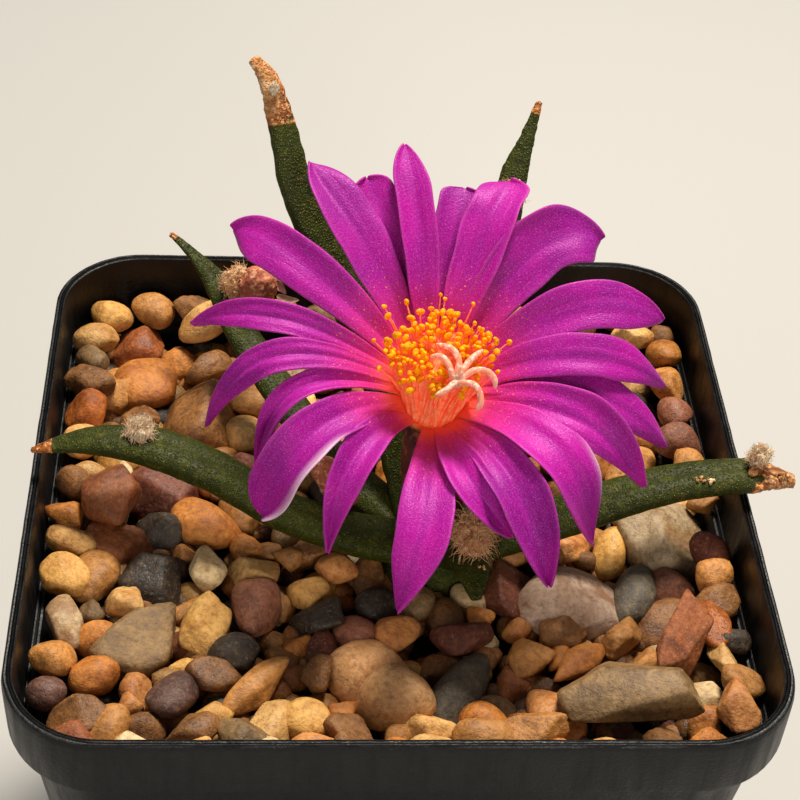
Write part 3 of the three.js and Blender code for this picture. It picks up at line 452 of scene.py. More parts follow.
def plus(tree, first, second):
    return sums(tree, "ADD", first, second)


def tinted(tree, shade, mask, strength, code):
    """A colour with another one laid over it where the mask shows."""
    return mixed(tree, times(tree, mask, strength), shade, paint(code))


def between(tree, value, low, high, to_low=0.0, to_high=1.0):
    made = node(tree, "MapRange", {"Value": value, "From Min": low, "From Max": high,
                                   "To Min": to_low, "To Max": to_high}, interpolation_type="SMOOTHSTEP")
    return made.outputs[0]


def cloud(tree, place, scale, detail=3.0, roughness=0.55, distortion=0.0):
    made = node(tree, "TexNoise", {"Vector": place, "Scale": scale, "Detail": detail,
                                   "Roughness": roughness, "Distortion": distortion})
    return made.outputs[0]


def stretched(tree, place, scale):
    return node(tree, "Mapping", {"Vector": place, "Scale": scale}).outputs[0]


def attribute(tree, name, output="Fac"):
    return node(tree, "Attribute", attribute_name=name).outputs[output]


def new_group(name, inputs, outputs):
    """A node group with named sockets: each is a name, a kind and, for an input, its value."""
    group = bpy.data.node_groups.new(name, "ShaderNodeTree")
    for label, kind, value in inputs:
        socket = group.interface.new_socket(name=label, in_out="INPUT", socket_type="NodeSocket" + kind)
        if value is not None:
            socket.default_value = value
    for label, kind in outputs:
        group.interface.new_socket(name=label, in_out="OUTPUT", socket_type="NodeSocket" + kind)
    return group, group.nodes.new("NodeGroupInput").outputs, group.nodes.new("NodeGroupOutput")


def tone_group():
    """Mixes a second and a third colour into a first in soft patches of two sizes."""
    group, given, result = new_group(
        "patchy tone",
        [("Place", "Vector", None), ("Colour", "Color", (1, 1, 1, 1)), ("Darker", "Color", (0, 0, 0, 1)),
         ("Lighter", "Color", (1, 1, 1, 1)), ("Scale", "Float", 300.0), ("Spread", "Float", 0.1)],
        [("Colour", "Color"), ("Patches", "Float")])
    wide = cloud(group, given["Place"], given["Scale"], 3.0, 0.6)
    small = cloud(group, given["Place"], times(group, given["Scale"], 3.7), 2.0, 0.5)
    low = sums(group, "SUBTRACT", 0.5, given["Spread"])
    high = plus(group, 0.5, given["Spread"])
    shade = mixed(group, between(group, wide, high, low), given["Colour"], given["Darker"])
    shade = mixed(group, between(group, small, 0.5, high), shade, given["Lighter"])
    fill_inputs(group, result, {"Colour": shade, "Patches": wide})
    return group


def dust_group():
    """Pale dust that lies in specks, thickest on faces that look up."""
    group, given, result = new_group(
        "dust",
        [("Place", "Vector", None), ("Colour", "Color", (0, 0, 0, 1)), ("Dust", "Color", (1, 1, 1, 1)),
         ("Scale", "Float", 2500.0), ("Share", "Float", 0.2)],
        [("Colour", "Color"), ("Mask", "Float")])
    speck = cloud(group, given["Place"], given["Scale"], 4.0, 0.7)
    drift = cloud(group, given["Place"], 130.0, 3.0, 0.6)
    edge = sums(group, "SUBTRACT", 0.72, times(group, given["Share"], 0.35))
    specks = between(group, speck, edge, plus(group, edge, 0.1))
    facing = node(group, "SeparateXYZ", {0: node(group, "NewGeometry").outputs["Normal"]}).outputs[2]
    lying = between(group, facing, -0.3, 1.0, 0.25, 1.0)
    drifts = between(group, drift, 0.35, 0.65, 0.4, 1.0)
    mask = times(group, specks, times(group, lying, drifts))
    shade = mixed(group, mask, given["Colour"], given["Dust"])
    fill_inputs(group, result, {"Colour": shade, "Mask": mask})
    return group


def grain_group():
    """Height of a fine rough grain over a slower swell."""
    group, given, result = new_group(
        "surface grain",
        [("Place", "Vector", None), ("Scale", "Float", 2000.0), ("Swell", "Float", 0.5)],
        [("Height", "Float")])
    fine = cloud(group, given["Place"], given["Scale"], 4.0, 0.6)
    slow = cloud(group, given["Place"], times(group, given["Scale"], 0.2), 2.0, 0.5)
    height = node(group, "Mix", {0: given["Swell"], 2: fine, 3: slow}, data_type="FLOAT").outputs[0]
    fill_inputs(group, result, {"Height": height})
    return group


TONE = tone_group()
DUST = dust_group()
GRAIN = grain_group()


def placed(tree, group, inputs):
    """A node group put in a material with its own values."""
    return node(tree, "Group", inputs, node_tree=group).outputs


def patchy(tree, place, codes, scale, spread):
    """Outputs of the patchy tone group with a main, a darker and a lighter colour."""
    colours = dict(zip(("Colour", "Darker", "Lighter"), map(paint, codes)))
    return placed(tree, TONE, {"Place": place, **colours, "Scale": scale, "Spread": spread})


def dusty(tree, place, colour, code, scale, share):
    """Outputs of the dust group over a colour."""
    return placed(tree, DUST, {"Place": place, "Colour": colour, "Dust": paint(code), "Scale": scale,
                               "Share": share})


def grainy(tree, place, scale, swell):
    """Height out of the surface grain group."""
    return placed(tree, GRAIN, {"Place": place, "Scale": scale, "Swell": swell})[0]


def raised(tree, height, distance, strength=1.0):
    """A surface normal for a height pattern."""
    return node(tree, "Bump", {"Height": height, "Distance": distance, "Strength": strength}).outputs[0]


def new_material(name):
    """A material, its tree, its main shader, and the place on the object in metres."""
    made = bpy.data.materials.new(name)
    made.use_nodes = True
    tree = made.node_tree
    return made, tree, tree.nodes["Principled BSDF"], node(tree, "TexCoord").outputs["Object"]


# Materials

def black_plastic():
    made, tree, shader, place = new_material("black moulded plastic")
    streaks = cloud(tree, stretched(tree, place, (1.0, 1.0, 0.12)), 700.0, 4.0, 0.65)
    tone = patchy(tree, place, ("#060607", "#040405", "#0b0b0d"), 160.0, 0.2)
    shade, dust = dusty(tree, place, tone[0], "#4b4741", 3800.0, 0.26)
    gloss = between(tree, streaks, 0.35, 0.7, 0.36, 0.56)
    fill_inputs(tree, shader, {
        "Base Color": shade,
        "Roughness": sums(tree, "ADD", gloss, times(tree, dust, 0.35), True),
        "Specular IOR Level": 0.32,
        "Normal": raised(tree, grainy(tree, place, 2600.0, 0.25), 0.00008)})
    return made


def compost():
    made, tree, shader, place = new_material("compost")
    tone = patchy(tree, place, ("#2b1e15", "#150f0b", "#5a4430"), 500.0, 0.08)
    fill_inputs(tree, shader, {
        "Base Color": tone[0],
        "Roughness": 0.95,
        "Normal": raised(tree, grainy(tree, place, 1200.0, 0.5), 0.0006)})
    return made


def pebble():
    """The finish of all stones; each stone's colours, with painted shade on the bed stones, and its marks lie
    on its vertices.
    """
    made, tree, shader, place = new_material("river pebble")
    first = attribute(tree, "stone_colour", "Color")
    second = attribute(tree, "stone_second", "Color")
    marks = node(tree, "SeparateColor", {0: attribute(tree, "stone_marks", "Color")}).outputs
    speckled, stained, dull = marks[:3]
    patches = cloud(tree, place, 300.0, 5.0, 0.62, 0.7)
    shade = mixed(tree, between(tree, patches, 0.34, 0.7, 0.0, 0.95), first, second)
    mottle = cloud(tree, place, 1700.0, 5.0, 0.7)
    shade = mixed(tree, between(tree, mottle, 0.58, 0.32, 0.0, 0.45), shade, paint("#6b4428"), "MULTIPLY")
    shade = mixed(tree, between(tree, mottle, 0.52, 0.75, 0.0, 0.14), shade, paint("#d9a25e"), "SCREEN")
    specks = between(tree, cloud(tree, place, 4200.0, 2.0, 0.5), 0.58, 0.7)
    dark_specks = times(tree, specks, speckled)
    shade = tinted(tree, shade, dark_specks, 0.7, "#2c1d13")
    pale_specks = between(tree, cloud(tree, place, 3300.0, 2.0, 0.5), 0.6, 0.74)
    shade = tinted(tree, shade, times(tree, pale_specks, speckled), 0.45, "#dcc8a4")
    veins = between(tree, cloud(tree, place, 170.0, 4.0, 0.6, 1.0), 0.5, 0.62)
    shade = mixed(tree, times(tree, veins, stained), shade, paint("#7c4d26"))
    polish = between(tree, mottle, 0.3, 0.7, 0.38, 0.55)
    height = plus(tree, grainy(tree, place, 2600.0, 0.4), times(tree, dark_specks, -0.5))
    fill_inputs(tree, shader, {
        "Base Color": shade,
        "Roughness": plus(tree, polish, times(tree, dull, 0.2)),
        "Specular IOR Level": 0.35,
        "Normal": raised(tree, height, 0.00022, 0.9)})
    return made


def green_skin():
    """Green skin that turns to pale or orange horn where the tubercle has dried."""
    made, tree, shader, place = new_material("tubercle skin")
    dry = attribute(tree, "dry")
    tone = patchy(tree, place, ("#333909", "#252a07", "#3e410e"), 260.0, 0.2)
    bumps = node(tree, "TexVoronoi", {"Vector": place, "Scale": 4000.0, "Randomness": 0.85})
    dots = between(tree, bumps.outputs["Distance"], 0.5, 0.05)
    shade = tinted(tree, tone[0], dots, 0.22, "#6d7128")
    # Painted highlights: pale glints on the tops of the papillae, standing for pinpoint reflections
    painted_glints = between(tree, cloud(tree, place, 3300.0, 1.0, 0.5), 0.54, 0.66)
    shade = tinted(tree, shade, times(tree, painted_glints, dots), 0.5, "#a5a65e")
    freckles = between(tree, cloud(tree, place, 620.0, 3.0, 0.6), 0.62, 0.76)
    shade = tinted(tree, shade, freckles, 0.35, "#84692e")
    orange_horn = patchy(tree, place, ("#b3642a", "#6e3c1c", "#dda066"), 700.0, 0.16)
    pale_horn = patchy(tree, place, ("#e0b07a", "#a87648", "#f2d6aa"), 420.0, 0.2)
    horn = mixed(tree, attribute(tree, "pale_horn"), orange_horn[0], pale_horn[0])
    wrinkles = cloud(tree, place, 1500.0, 3.0, 0.6, 1.5)
    crust = times(tree, orange_horn["Patches"], times(tree, dry, 2.0))
    height = plus(tree, plus(tree, dots, wrinkles), crust)
    fill_inputs(tree, shader, {
        "Base Color": mixed(tree, between(tree, dry, 0.3, 0.7), shade, horn),
        "Roughness": 0.45,
        "Specular IOR Level": 0.16,
        "Normal": raised(tree, height, 0.00013)})
    return made


def wool_fibre():
    made, tree, shader, place = new_material("areole wool")
    grey = patchy(tree, place, ("#dcc8a6", "#b8966c", "#efe0c6"), 700.0, 0.2)
    tan = patchy(tree, place, ("#f4be84", "#cc8448", "#ffe2b4"), 700.0, 0.2)
    fill_inputs(tree, shader, {
        "Base Color": mixed(tree, attribute(tree, "warmth"), grey[0], tan[0]),
        "Roughness": 0.8,
        "Sheen Weight": 0.3,
        "Normal": raised(tree, grainy(tree, place, 3600.0, 0.3), 0.0002)})
    return made


def fruit_skin():
    made, tree, shader, place = new_material("fruit skin")
    tone = patchy(tree, place, ("#b9684c", "#8a4432", "#d69a76"), 500.0, 0.2)
    fill_inputs(tree, shader, {
        "Base Color": dusty(tree, place, tone[0], "#e3c9ab", 3000.0, 0.3)[0],
        "Roughness": 0.7,
        "Specular IOR Level": 0.25,
        "Subsurface Weight": 0.1,
        "Subsurface Scale": 0.0008,
        "Normal": raised(tree, grainy(tree, place, 2400.0, 0.5), 0.0004)})
    return made


def petal_silk():
    """Petal colour along and across each petal's own UV map: pink at the root, streaked above it."""
    made, tree, shader, place = new_material("petal")
    on_petal = node(tree, "UVMap").outputs[0]
    across, along = node(tree, "SeparateXYZ", {0: on_petal}).outputs[:2]
    from_middle = sums(tree, "ABSOLUTE", sums(tree, "SUBTRACT", across, 0.5))
    streaks = cloud(tree, stretched(tree, on_petal, (14.0, 1.4, 1.0)), 1.6, 3.0, 0.55)
    soft = between(tree, cloud(tree, place, 220.0, 3.0, 0.5), 0.3, 0.7, 0.0, 0.5)
    depth = plus(tree, soft, times(tree, attribute(tree, "petal_tone"), 0.5))
    shade = mixed(tree, depth, paint("#ac0c8e"), paint("#7c0678"))
    shade = mixed(tree, between(tree, streaks, 0.4, 0.75, 0.0, 0.16), shade, paint("#cc3caa"))
    shade = tinted(tree, shade, between(tree, from_middle, 0.14, 0.02), 0.3, "#7a0d7c")
    shade = tinted(tree, shade, between(tree, from_middle, 0.4, 0.5), 0.2, "#c85cb2")
    shade = tinted(tree, shade, between(tree, along, 0.38, 0.06), 0.85, "#c82a74")
    shade = mixed(tree, between(tree, along, 0.14, 0.01), shade, paint("#ee6238"))
    pollen = between(tree, cloud(tree, place, 4600.0, 1.0, 0.5), 0.7, 0.74)
    shade = mixed(tree, times(tree, pollen, between(tree, along, 0.5, 0.2)), shade, paint("#f5921e"))
    bleached = times(tree, attribute(tree, "pale"), between(tree, streaks, 0.2, 0.6, 0.6, 1.0))
    shade = mixed(tree, bleached, shade, paint("#e6c3dc"))
    # Painted highlights: fine specks tinted pale pink, standing for glittering reflections from the petal's
    # cells; the same specks also make the petal glossier
    painted_glitter_and_gloss = between(tree, cloud(tree, place, 11000.0, 1.0, 0.5), 0.58, 0.7)
    height = plus(tree, times(tree, streaks, 0.6), cloud(tree, place, 5200.0, 2.0, 0.5))
    fill_inputs(tree, shader, {
        "Base Color": tinted(tree, shade, painted_glitter_and_gloss, 0.3, "#e78ad6"),
        "Roughness": between(tree, painted_glitter_and_gloss, 0.0, 1.0, 0.46, 0.3),
        "Specular IOR Level": 0.35,
        "Specular Tint": paint("#f7a0ee"),
        "Sheen Weight": 0.05,
        "Sheen Tint": paint("#f0a0ee"),
        "Subsurface Weight": 0.12,
        "Subsurface Scale": 0.0008,
        "Normal": raised(tree, height, 0.00005)})
    return made


def tube_skin():
    made, tree, shader, place = new_material("flower tube")
    tone = patchy(tree, place, ("#8a3a34", "#4c2420", "#b86a56"), 300.0, 0.15)
    fill_inputs(tree, shader, {
        "Base Color": mixed(tree, attribute(tree, "inside"), tone[0], paint("#f4813c")),
        "Roughness": 0.5,
        "Subsurface Weight": 0.2,
        "Subsurface Scale": 0.0008,
        "Normal": raised(tree, grainy(tree, place, 1500.0, 0.5), 0.0001)})
    return made


def dry_petal():
    made, tree, shader, place = new_material("dry petal")
    wear = cloud(tree, place, 900.0, 3.0, 0.6)
    worn = between(tree, wear, 0.4, 0.7, 0.0, 0.6)
    fill_inputs(tree, shader, {
        "Base Color": mixed(tree, worn, attribute(tree, "rag_colour", "Color"), paint("#8a5a44")),
        "Roughness": 0.6,
        "Normal": raised(tree, wear, 0.0002)})
    return made


def soft_organ(name, codes, height, glow=0.0):
    """Finish of filaments, anthers or stigma; the glow stands for light let through them."""
    made, tree, shader, place = new_material(name)
    fill_inputs(tree, shader, {
        "Base Color": patchy(tree, place, codes, 700.0, 0.12)[0],
        "Roughness": 0.65,
        "Specular IOR Level": 0.15,
        "Subsurface Weight": 0.5,
        "Subsurface Scale": 0.001,
        "Emission Color": paint(codes[1]),
        "Emission Strength": glow,
        "Normal": raised(tree, grainy(tree, place, 6000.0, 0.3), height)})
    return made


# Pieces

def finished(name, source, material, slot, *nodes):
    """Makes an object of a bmesh or mesh that is in millimetres, gives it its material and body, and hides
    the CAD nodes it stands for; the slot is not used.
    """
    if isinstance(source, bmesh.types.BMesh):
        mesh = bpy.data.meshes.new(name)
        source.to_mesh(mesh)
        source.free()
    else:
        mesh = source
        mesh.name = name
    mesh.transform(Matrix.Scale(MM, 4))
    mesh.shade_smooth()
    mesh.materials.clear()
    mesh.materials.append(material)
    piece = bpy.data.objects.new(name, mesh)
    scene.collection.objects.link(piece)
    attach(piece, BODY)
    if nodes:
        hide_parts(*nodes)
    return piece


def gather(whole, part):
    """Adds one bmesh to another, and frees it."""
    carried = bpy.data.meshes.new("carried")
    part.to_mesh(carried)
    part.free()
    whole.from_mesh(carried)
    bpy.data.meshes.remove(carried)


def through(points, steps):
    """Places on a smooth line through the points, evenly many for each stretch."""
    ends = [points[0] * 2 - points[1], *points, points[-1] * 2 - points[-2]]
    places = []
    for k in range(len(points) - 1):
        p0, p1, p2, p3 = ends[k:k + 4]
        t0, t1, t2 = (max(1e-4, (b - a).length) ** 0.5 for a, b in ((p0, p1), (p1, p2), (p2, p3)))
        leave = ((p1 - p0) / t0 - (p2 - p0) / (t0 + t1) + (p2 - p1) / t1) * t1
        arrive = ((p2 - p1) / t1 - (p3 - p1) / (t1 + t2) + (p3 - p2) / t2) * t1
        for i in range(steps):
            t = i / steps
            places.append(p1 + leave * t + (3 * (p2 - p1) - 2 * leave - arrive) * t * t
                          + (2 * (p1 - p2) + leave + arrive) * t ** 3)
    return [*places, points[-1].copy()]


def along_line(places, share):
    """A place and direction at a share of a line's list of places."""
    at = clamp(share) * (len(places) - 1)
    before = min(int(at), len(places) - 2)
    place = places[before].lerp(places[before + 1], at - before)
    ahead = min(before + 2, len(places) - 1)
    behind = max(before - 1, 0)
    return place, (places[ahead] - places[behind]).normalized()


def wrapped(sides, rings, at, closed_ends=(True, True)):
    """A tube made from a flat grid: at(angle share, length share) gives each place."""
    bm = bmesh.new()
    bmesh.ops.create_grid(bm, x_segments=sides, y_segments=rings, size=1)
    first, last = [], []
    for vert in bm.verts:
        share = (vert.co.y + 1) / 2
        turn = (vert.co.x + 1) / 2
        if share < 1e-5:
            first.append(vert)
        elif share > 1 - 1e-5:
            last.append(vert)
        vert.co = at(turn, share)
    for ring, closed in ((first, closed_ends[0]), (last, closed_ends[1])):
        if closed:
            middle = sum((v.co for v in ring), Vector()) / len(ring)
            bmesh.ops.pointmerge(bm, verts=ring, merge_co=middle)
    bmesh.ops.remove_doubles(bm, verts=bm.verts, dist=1e-4)
    bmesh.ops.recalc_face_normals(bm, faces=bm.faces)
    return bm


def strands(paths, thickness, roundness=0):
    """A mesh of many thin round strands: each is a list of places and a list of radius shares."""
    line = bpy.data.curves.new("strands", "CURVE")
    line.dimensions = "3D"
    line.bevel_depth = thickness
    line.bevel_resolution = roundness
    line.use_fill_caps = True
    for places, radii in paths:
        spline = line.splines.new("POLY")
        spline.points.add(len(places) - 1)
        for point, place, radius in zip(spline.points, places, radii):
            point.co = (*place, 1)
            point.radius = radius
    holder = bpy.data.objects.new("strands", line)
    mesh = bpy.data.meshes.new_from_object(holder)
    bpy.data.objects.remove(holder)
    bpy.data.curves.remove(line)
    return mesh


def sized(way, half):
    """A direction from a body's middle made a place on it, by the body's half sizes."""
    return Vector([w * h for w, h in zip(way, half)])


def ball(detail, at):
    """A round body: at(direction) gives the place of each vertex."""
    bm = bmesh.new()
    bmesh.ops.create_icosphere(bm, subdivisions=detail, radius=1)
    for vert in bm.verts:
        vert.co = at(vert.co.normalized())
    return bm


def mark(bm, name, value):
    """Writes a number on all vertices, or a colour where it is a tuple, for a material to read."""
    layers = bm.verts.layers.float_color if isinstance(value, tuple) else bm.verts.layers.float
    layer = layers.new(name)
    for vert in bm.verts:
        vert[layer] = value


def any_way(draw):
    """A direction drawn evenly from all of them."""
    height = 2 * draw() - 1
    turn = 2 * math.pi * draw()
    flat = math.sqrt(1 - height * height)
    return Vector((flat * math.cos(turn), flat * math.sin(turn), height))


# Gravel

def gravel_level(x, y):
    return GRAVEL_LEVEL - GRAVEL_FALL * (x + y)


def past_corner(x, y, room):
    """How far a place lies past the straight sides of a square with round corners."""
    corner = room - STONE_CORNER
    return math.hypot(max(0, abs(x) - corner), max(0, abs(y) - corner))


def common_kind(draw):
    return COMMON_KINDS[int(draw() * len(COMMON_KINDS))]


def all_stones():
    """The measured stones, and those that fill the room between them by the CAD's rule."""
    stones = list(STONES)
    draw = draws(20)
    pick = draws(71)
    for _ in range(FILL_TRIES):
        if len(stones) >= len(STONES) + FILL_STONES:
            break
        width = 2.8 + 2 * draw()
        length = width * (1 + 0.5 * draw())
        x = (2 * draw() - 1) * (STONE_ROOM - width / 2)
        y = (2 * draw() - 1) * (STONE_ROOM - width / 2)
        turn = round(180 * draw())
        crowded = any(math.hypot(x - s[0], y - s[1]) < STONE_SPACING * (length + width + s[2] + s[3])
                      for s in stones)
        from_stem = math.hypot(x - CROWN[0], y - CROWN[1])
        if not crowded and past_corner(x, y, STONE_ROOM) < STONE_CORNER and from_stem > CROWN_RADIUS:
            stones.append((x, y, length, width, turn, common_kind(pick)))
    return stones


def half_extents(length, width, turn):
    """How far an oval that is turned reaches along x and along y."""
    cos, sin = math.cos(math.radians(turn)), math.sin(math.radians(turn))
    return (math.hypot(length * cos, width * sin) / 2, math.hypot(length * sin, width * cos) / 2)


def inside_wall(x, y, length, width, turn):
    """The place moved in as far as the stone needs to stay off the pot's wall, or, if thick, its ledge."""
    reach_x, reach_y = half_extents(length, width, turn)
    space = WALL_ROOM if width < THICK_STONE else LEDGE_ROOM
    x = clamp(x, reach_x - space, space - reach_x)
    y = clamp(y, reach_y - space, space - reach_y)
    past = past_corner(x, y, space)
    room = max(0.5, STONE_CORNER - max(reach_x, reach_y))
    if past > room:
        corner = space - STONE_CORNER
        x -= math.copysign(max(0, abs(x) - corner) * (1 - room / past), x)
        y -= math.copysign(max(0, abs(y) - corner) * (1 - room / past), y)
    return x, y


def spread_stones():
    """All stones as they show: those along the wall, and the CAD's a little larger and further out."""
    stones = []
    for k, (x, y, length, width, turn, kind) in enumerate(all_stones()):
        length, width = length * STONE_SWELL, width * STONE_SWELL
        x, y = inside_wall(x * STONE_SPREAD[0], y * STONE_SPREAD[1], length, width, turn)
        if k < len(STONES) or not on_a_stone(x, y, width, WALL_STONES):
            stones.append((x, y, length, width, turn, kind))
    for x, y, length, width, turn, kind in WALL_STONES:
        x, y = inside_wall(x, y, length, width, turn)
        if not on_a_stone(x, y, -0.6 * width, stones):
            stones.append((x, y, length, width, turn, kind))
    return stones


def on_a_stone(x, y, size, stones):
    """Whether a small stone's place is taken by a larger one."""
    for sx, sy, length, width, turn, _ in stones:
        dx, dy = x - sx, y - sy
        if abs(dx) + abs(dy) > length + size:
            continue
        cos, sin = math.cos(math.radians(turn)), math.sin(math.radians(turn))
        along, aside = dx * cos + dy * sin, dy * cos - dx * sin
        if math.hypot(along / (length + SMALL_GAP * size), aside / (width + SMALL_GAP * size)) < 0.5:
            return True
    return False


def pebble_shape(half, detail, worn, draw):
    """A stone worn from a block of a few flat sides: sharp edged at 0, quite round at 1."""
    edge = lerp(*BLOCK_EDGES, worn)
    flats = [(any_way(draw), lerp(*BLOCK_DEPTHS, worn) + 0.3 * draw())
             for _ in range(round(lerp(*BLOCK_FLATS, worn)))]
    offset = any_way(draw) * 40 * draw()

    def surface(way):
        block = sum(max(0, way.dot(normal) / depth) ** edge for normal, depth in flats)
        reach = (1 + block) ** (-1 / edge)
        reach *= 1 + 0.05 * noise.noise(way * 1.6 + offset) + 0.018 * noise.noise(way * 5 + offset)
        return way * reach

    bm = ball(detail, surface)
    for axis in range(3):
        low = min(vert.co[axis] for vert in bm.verts)
        high = max(vert.co[axis] for vert in bm.verts)
        for vert in bm.verts:
            vert.co[axis] = (2 * (vert.co[axis] - low) / (high - low) - 1) * half[axis]
    return bm


def coloured(bm, kind, draw, shade=1):
    """Writes a stone's colours and marks on its vertices; a shade below 1 darkens the colours as painted
    shade.
    """
    first, second, specks, veins = STONE_KINDS[kind]
    # Random brightness, times the shade factor that is painted shade on the bed stones
    light = shade * (0.8 + 0.4 * draw())
    swing = 0.05 * (draw() - 0.5)
    shades = []
    for code in (first, second):
        r, g, b, _ = paint(code)
        shades.append((clamp(r * light * (1 + swing)), clamp(g * light), clamp(b * light * (1 - swing)), 1))
    marks = (clamp(specks * (0.5 + draw())), clamp(veins * (0.5 + draw())), draw(), 1)
    for name, value in (("stone_colour", shades[0]), ("stone_second", shades[1]), ("stone_marks", marks)):
        mark(bm, name, value)


def set_down(bm, x, y, z, turn, tilt, draw):
    """Puts a stone in its place, tipped at random by up to half the tilt each way."""
    place = Matrix.Translation((x, y, POT_HEIGHT + z)) @ Matrix.Rotation(math.radians(turn), 4, "Z")
    for axis in ("Y", "X"):
        place = place @ Matrix.Rotation(math.radians(tilt * (draw() - 0.5)), 4, axis)
    bmesh.ops.transform(bm, matrix=place, verts=bm.verts)


def off_ledge(x, y, length, width, turn, middle, height):
    """A stone's middle height, raised where the stone would cut into the pot's ledge."""
    reach_x, reach_y = half_extents(length, width, turn)
    past = past_corner(x, y, LEDGE_ROOM) + max(reach_x, reach_y)
    if max(abs(x) + reach_x, abs(y) + reach_y) > LEDGE_ROOM or past > STONE_CORNER:
        return max(middle, LEDGE_LEVEL + height / 2)
    return middle


def make_gravel(stones, material):
    draw = draws(7)
    whole = bmesh.new()
    for x, y, length, width, turn, kind in stones:
        height = STONE_FLATNESS * width + 0.6
        detail = 5 if length > FINEST_MESH_LENGTH else 4 if length + width > FINE_MESH_GIRTH else 3
        worn = BLOCKY_WEAR * draw() if kind in BLOCKY_KINDS else clamp(COMMON_WEAR * (1 - draw()))
        if kind in ROUND_KINDS:
            worn = 1
        stone = pebble_shape((length / 2, width / 2, height / 2), detail, worn, draw)
        coloured(stone, kind, draw)
        top = STONE_RISE * (height - STONE_USUAL_HEIGHT) + STONE_UNEVENNESS * (draw() - 0.5)
        middle = gravel_level(x, y) + top - height / 2
        middle = off_ledge(x, y, length, width, turn, middle, height)
        set_down(stone, x, y, middle, turn, LONG_TIP if length > LONG_STONE else LARGE_TIP, draw)
        gather(whole, stone)
    finished("gravel_stones", whole, material, "pebble", "gravel")


def make_small_stones(stones, material):
    """Small stones in the gaps between the large ones, and the bed of stones under both, its colours darkened
    as painted shade.
    """
    draw = draws(31)
    whole = bmesh.new()
    taken = list(stones)
    for _ in range(SMALL_TRIES):
        if len(taken) >= len(stones) + SMALL_STONES:
            break
        width = 2.4 + 2 * draw()
        length = width * (1.1 + 0.5 * draw())
        x = (2 * draw() - 1) * SMALL_ROOM
        y = (2 * draw() - 1) * SMALL_ROOM
        if on_a_stone(x, y, width, taken):
            continue
        from_stem = math.hypot(x - CROWN[0], y - CROWN[1])
        if past_corner(x, y, SMALL_ROOM) > STONE_CORNER or from_stem < CROWN_RADIUS:
            continue
        turn = 180 * draw()
        x, y = inside_wall(x, y, length, width, turn)
        taken.append((x, y, length, width, turn, common_kind(draw)))
    for x, y, length, width, turn, kind in taken[len(stones):]:
        height = width * (0.7 + 0.25 * draw())
        stone = pebble_shape((length / 2, width / 2, height / 2), 3, clamp(1.3 - 1.3 * draw()), draw)
        coloured(stone, kind, draw)
        middle = gravel_level(x, y) - SMALL_DEPTH - SMALL_UNEVENNESS * draw() - height / 2
        middle = off_ledge(x, y, length, width, turn, middle, height)
        set_down(stone, x, y, middle, turn, SMALL_TIP, draw)
        gather(whole, stone)
    for _ in range(BED_STONES):
        size = 2 + 1.4 * draw()
        x = (2 * draw() - 1) * (STONE_ROOM - size / 2)
        y = (2 * draw() - 1) * (STONE_ROOM - size / 2)
        stone = pebble_shape((size * 0.6, size / 2, size * 0.4), 2, 1, draw)
        # Bed stones' colours darkened as painted shade for the gaps they show in
        coloured(stone, common_kind(draw), draw, BED_PAINTED_SHADE)
        middle = gravel_level(x, y) - BED_DEPTH + BED_UNEVENNESS * draw()
        set_down(stone, x, y, middle, 360 * draw(), SMALL_TIP, draw)
        gather(whole, stone)
    finished("gravel_grit", whole, material, "pebble")


# Pot

def square_loop(bm, loop, old, new):
    """Extrudes a round-cornered square loop of edges into one of other width, corner and height."""
    made = bmesh.ops.extrude_edge_only(bm, edges=loop)["geom"]
    verts = {g for g in made if isinstance(g, bmesh.types.BMVert)}
    old_core, new_core = old[0] / 2 - old[1], new[0] / 2 - new[1]
    for vert in verts:
        for axis in (0, 1):
            core = clamp(vert.co[axis], -old_core, old_core)
            vert.co[axis] = core * new_core / old_core + (vert.co[axis] - core) * new[1] / old[1]
        vert.co.z = new[2]
    return [g for g in made if isinstance(g, bmesh.types.BMEdge) and set(g.verts) <= verts]


def cut_out(source, tool):
    """A mesh of what is left of one bmesh after another is cut out of it."""
    holders = []
    for part in (source, tool):
        mesh = bpy.data.meshes.new("cut")
        part.to_mesh(mesh)
        part.free()
        holders.append(bpy.data.objects.new("cut", mesh))
        scene.collection.objects.link(holders[-1])
    cut = holders[0].modifiers.new("cut", "BOOLEAN")
    cut.object = holders[1]
    cut.solver = "EXACT"
    bpy.context.view_layer.update()
    left = holders[0].evaluated_get(bpy.context.evaluated_depsgraph_get())
    mesh = bpy.data.meshes.new_from_object(left)
    for holder in holders:
        spare = holder.data
        bpy.data.objects.remove(holder)
        bpy.data.meshes.remove(spare)
    return mesh


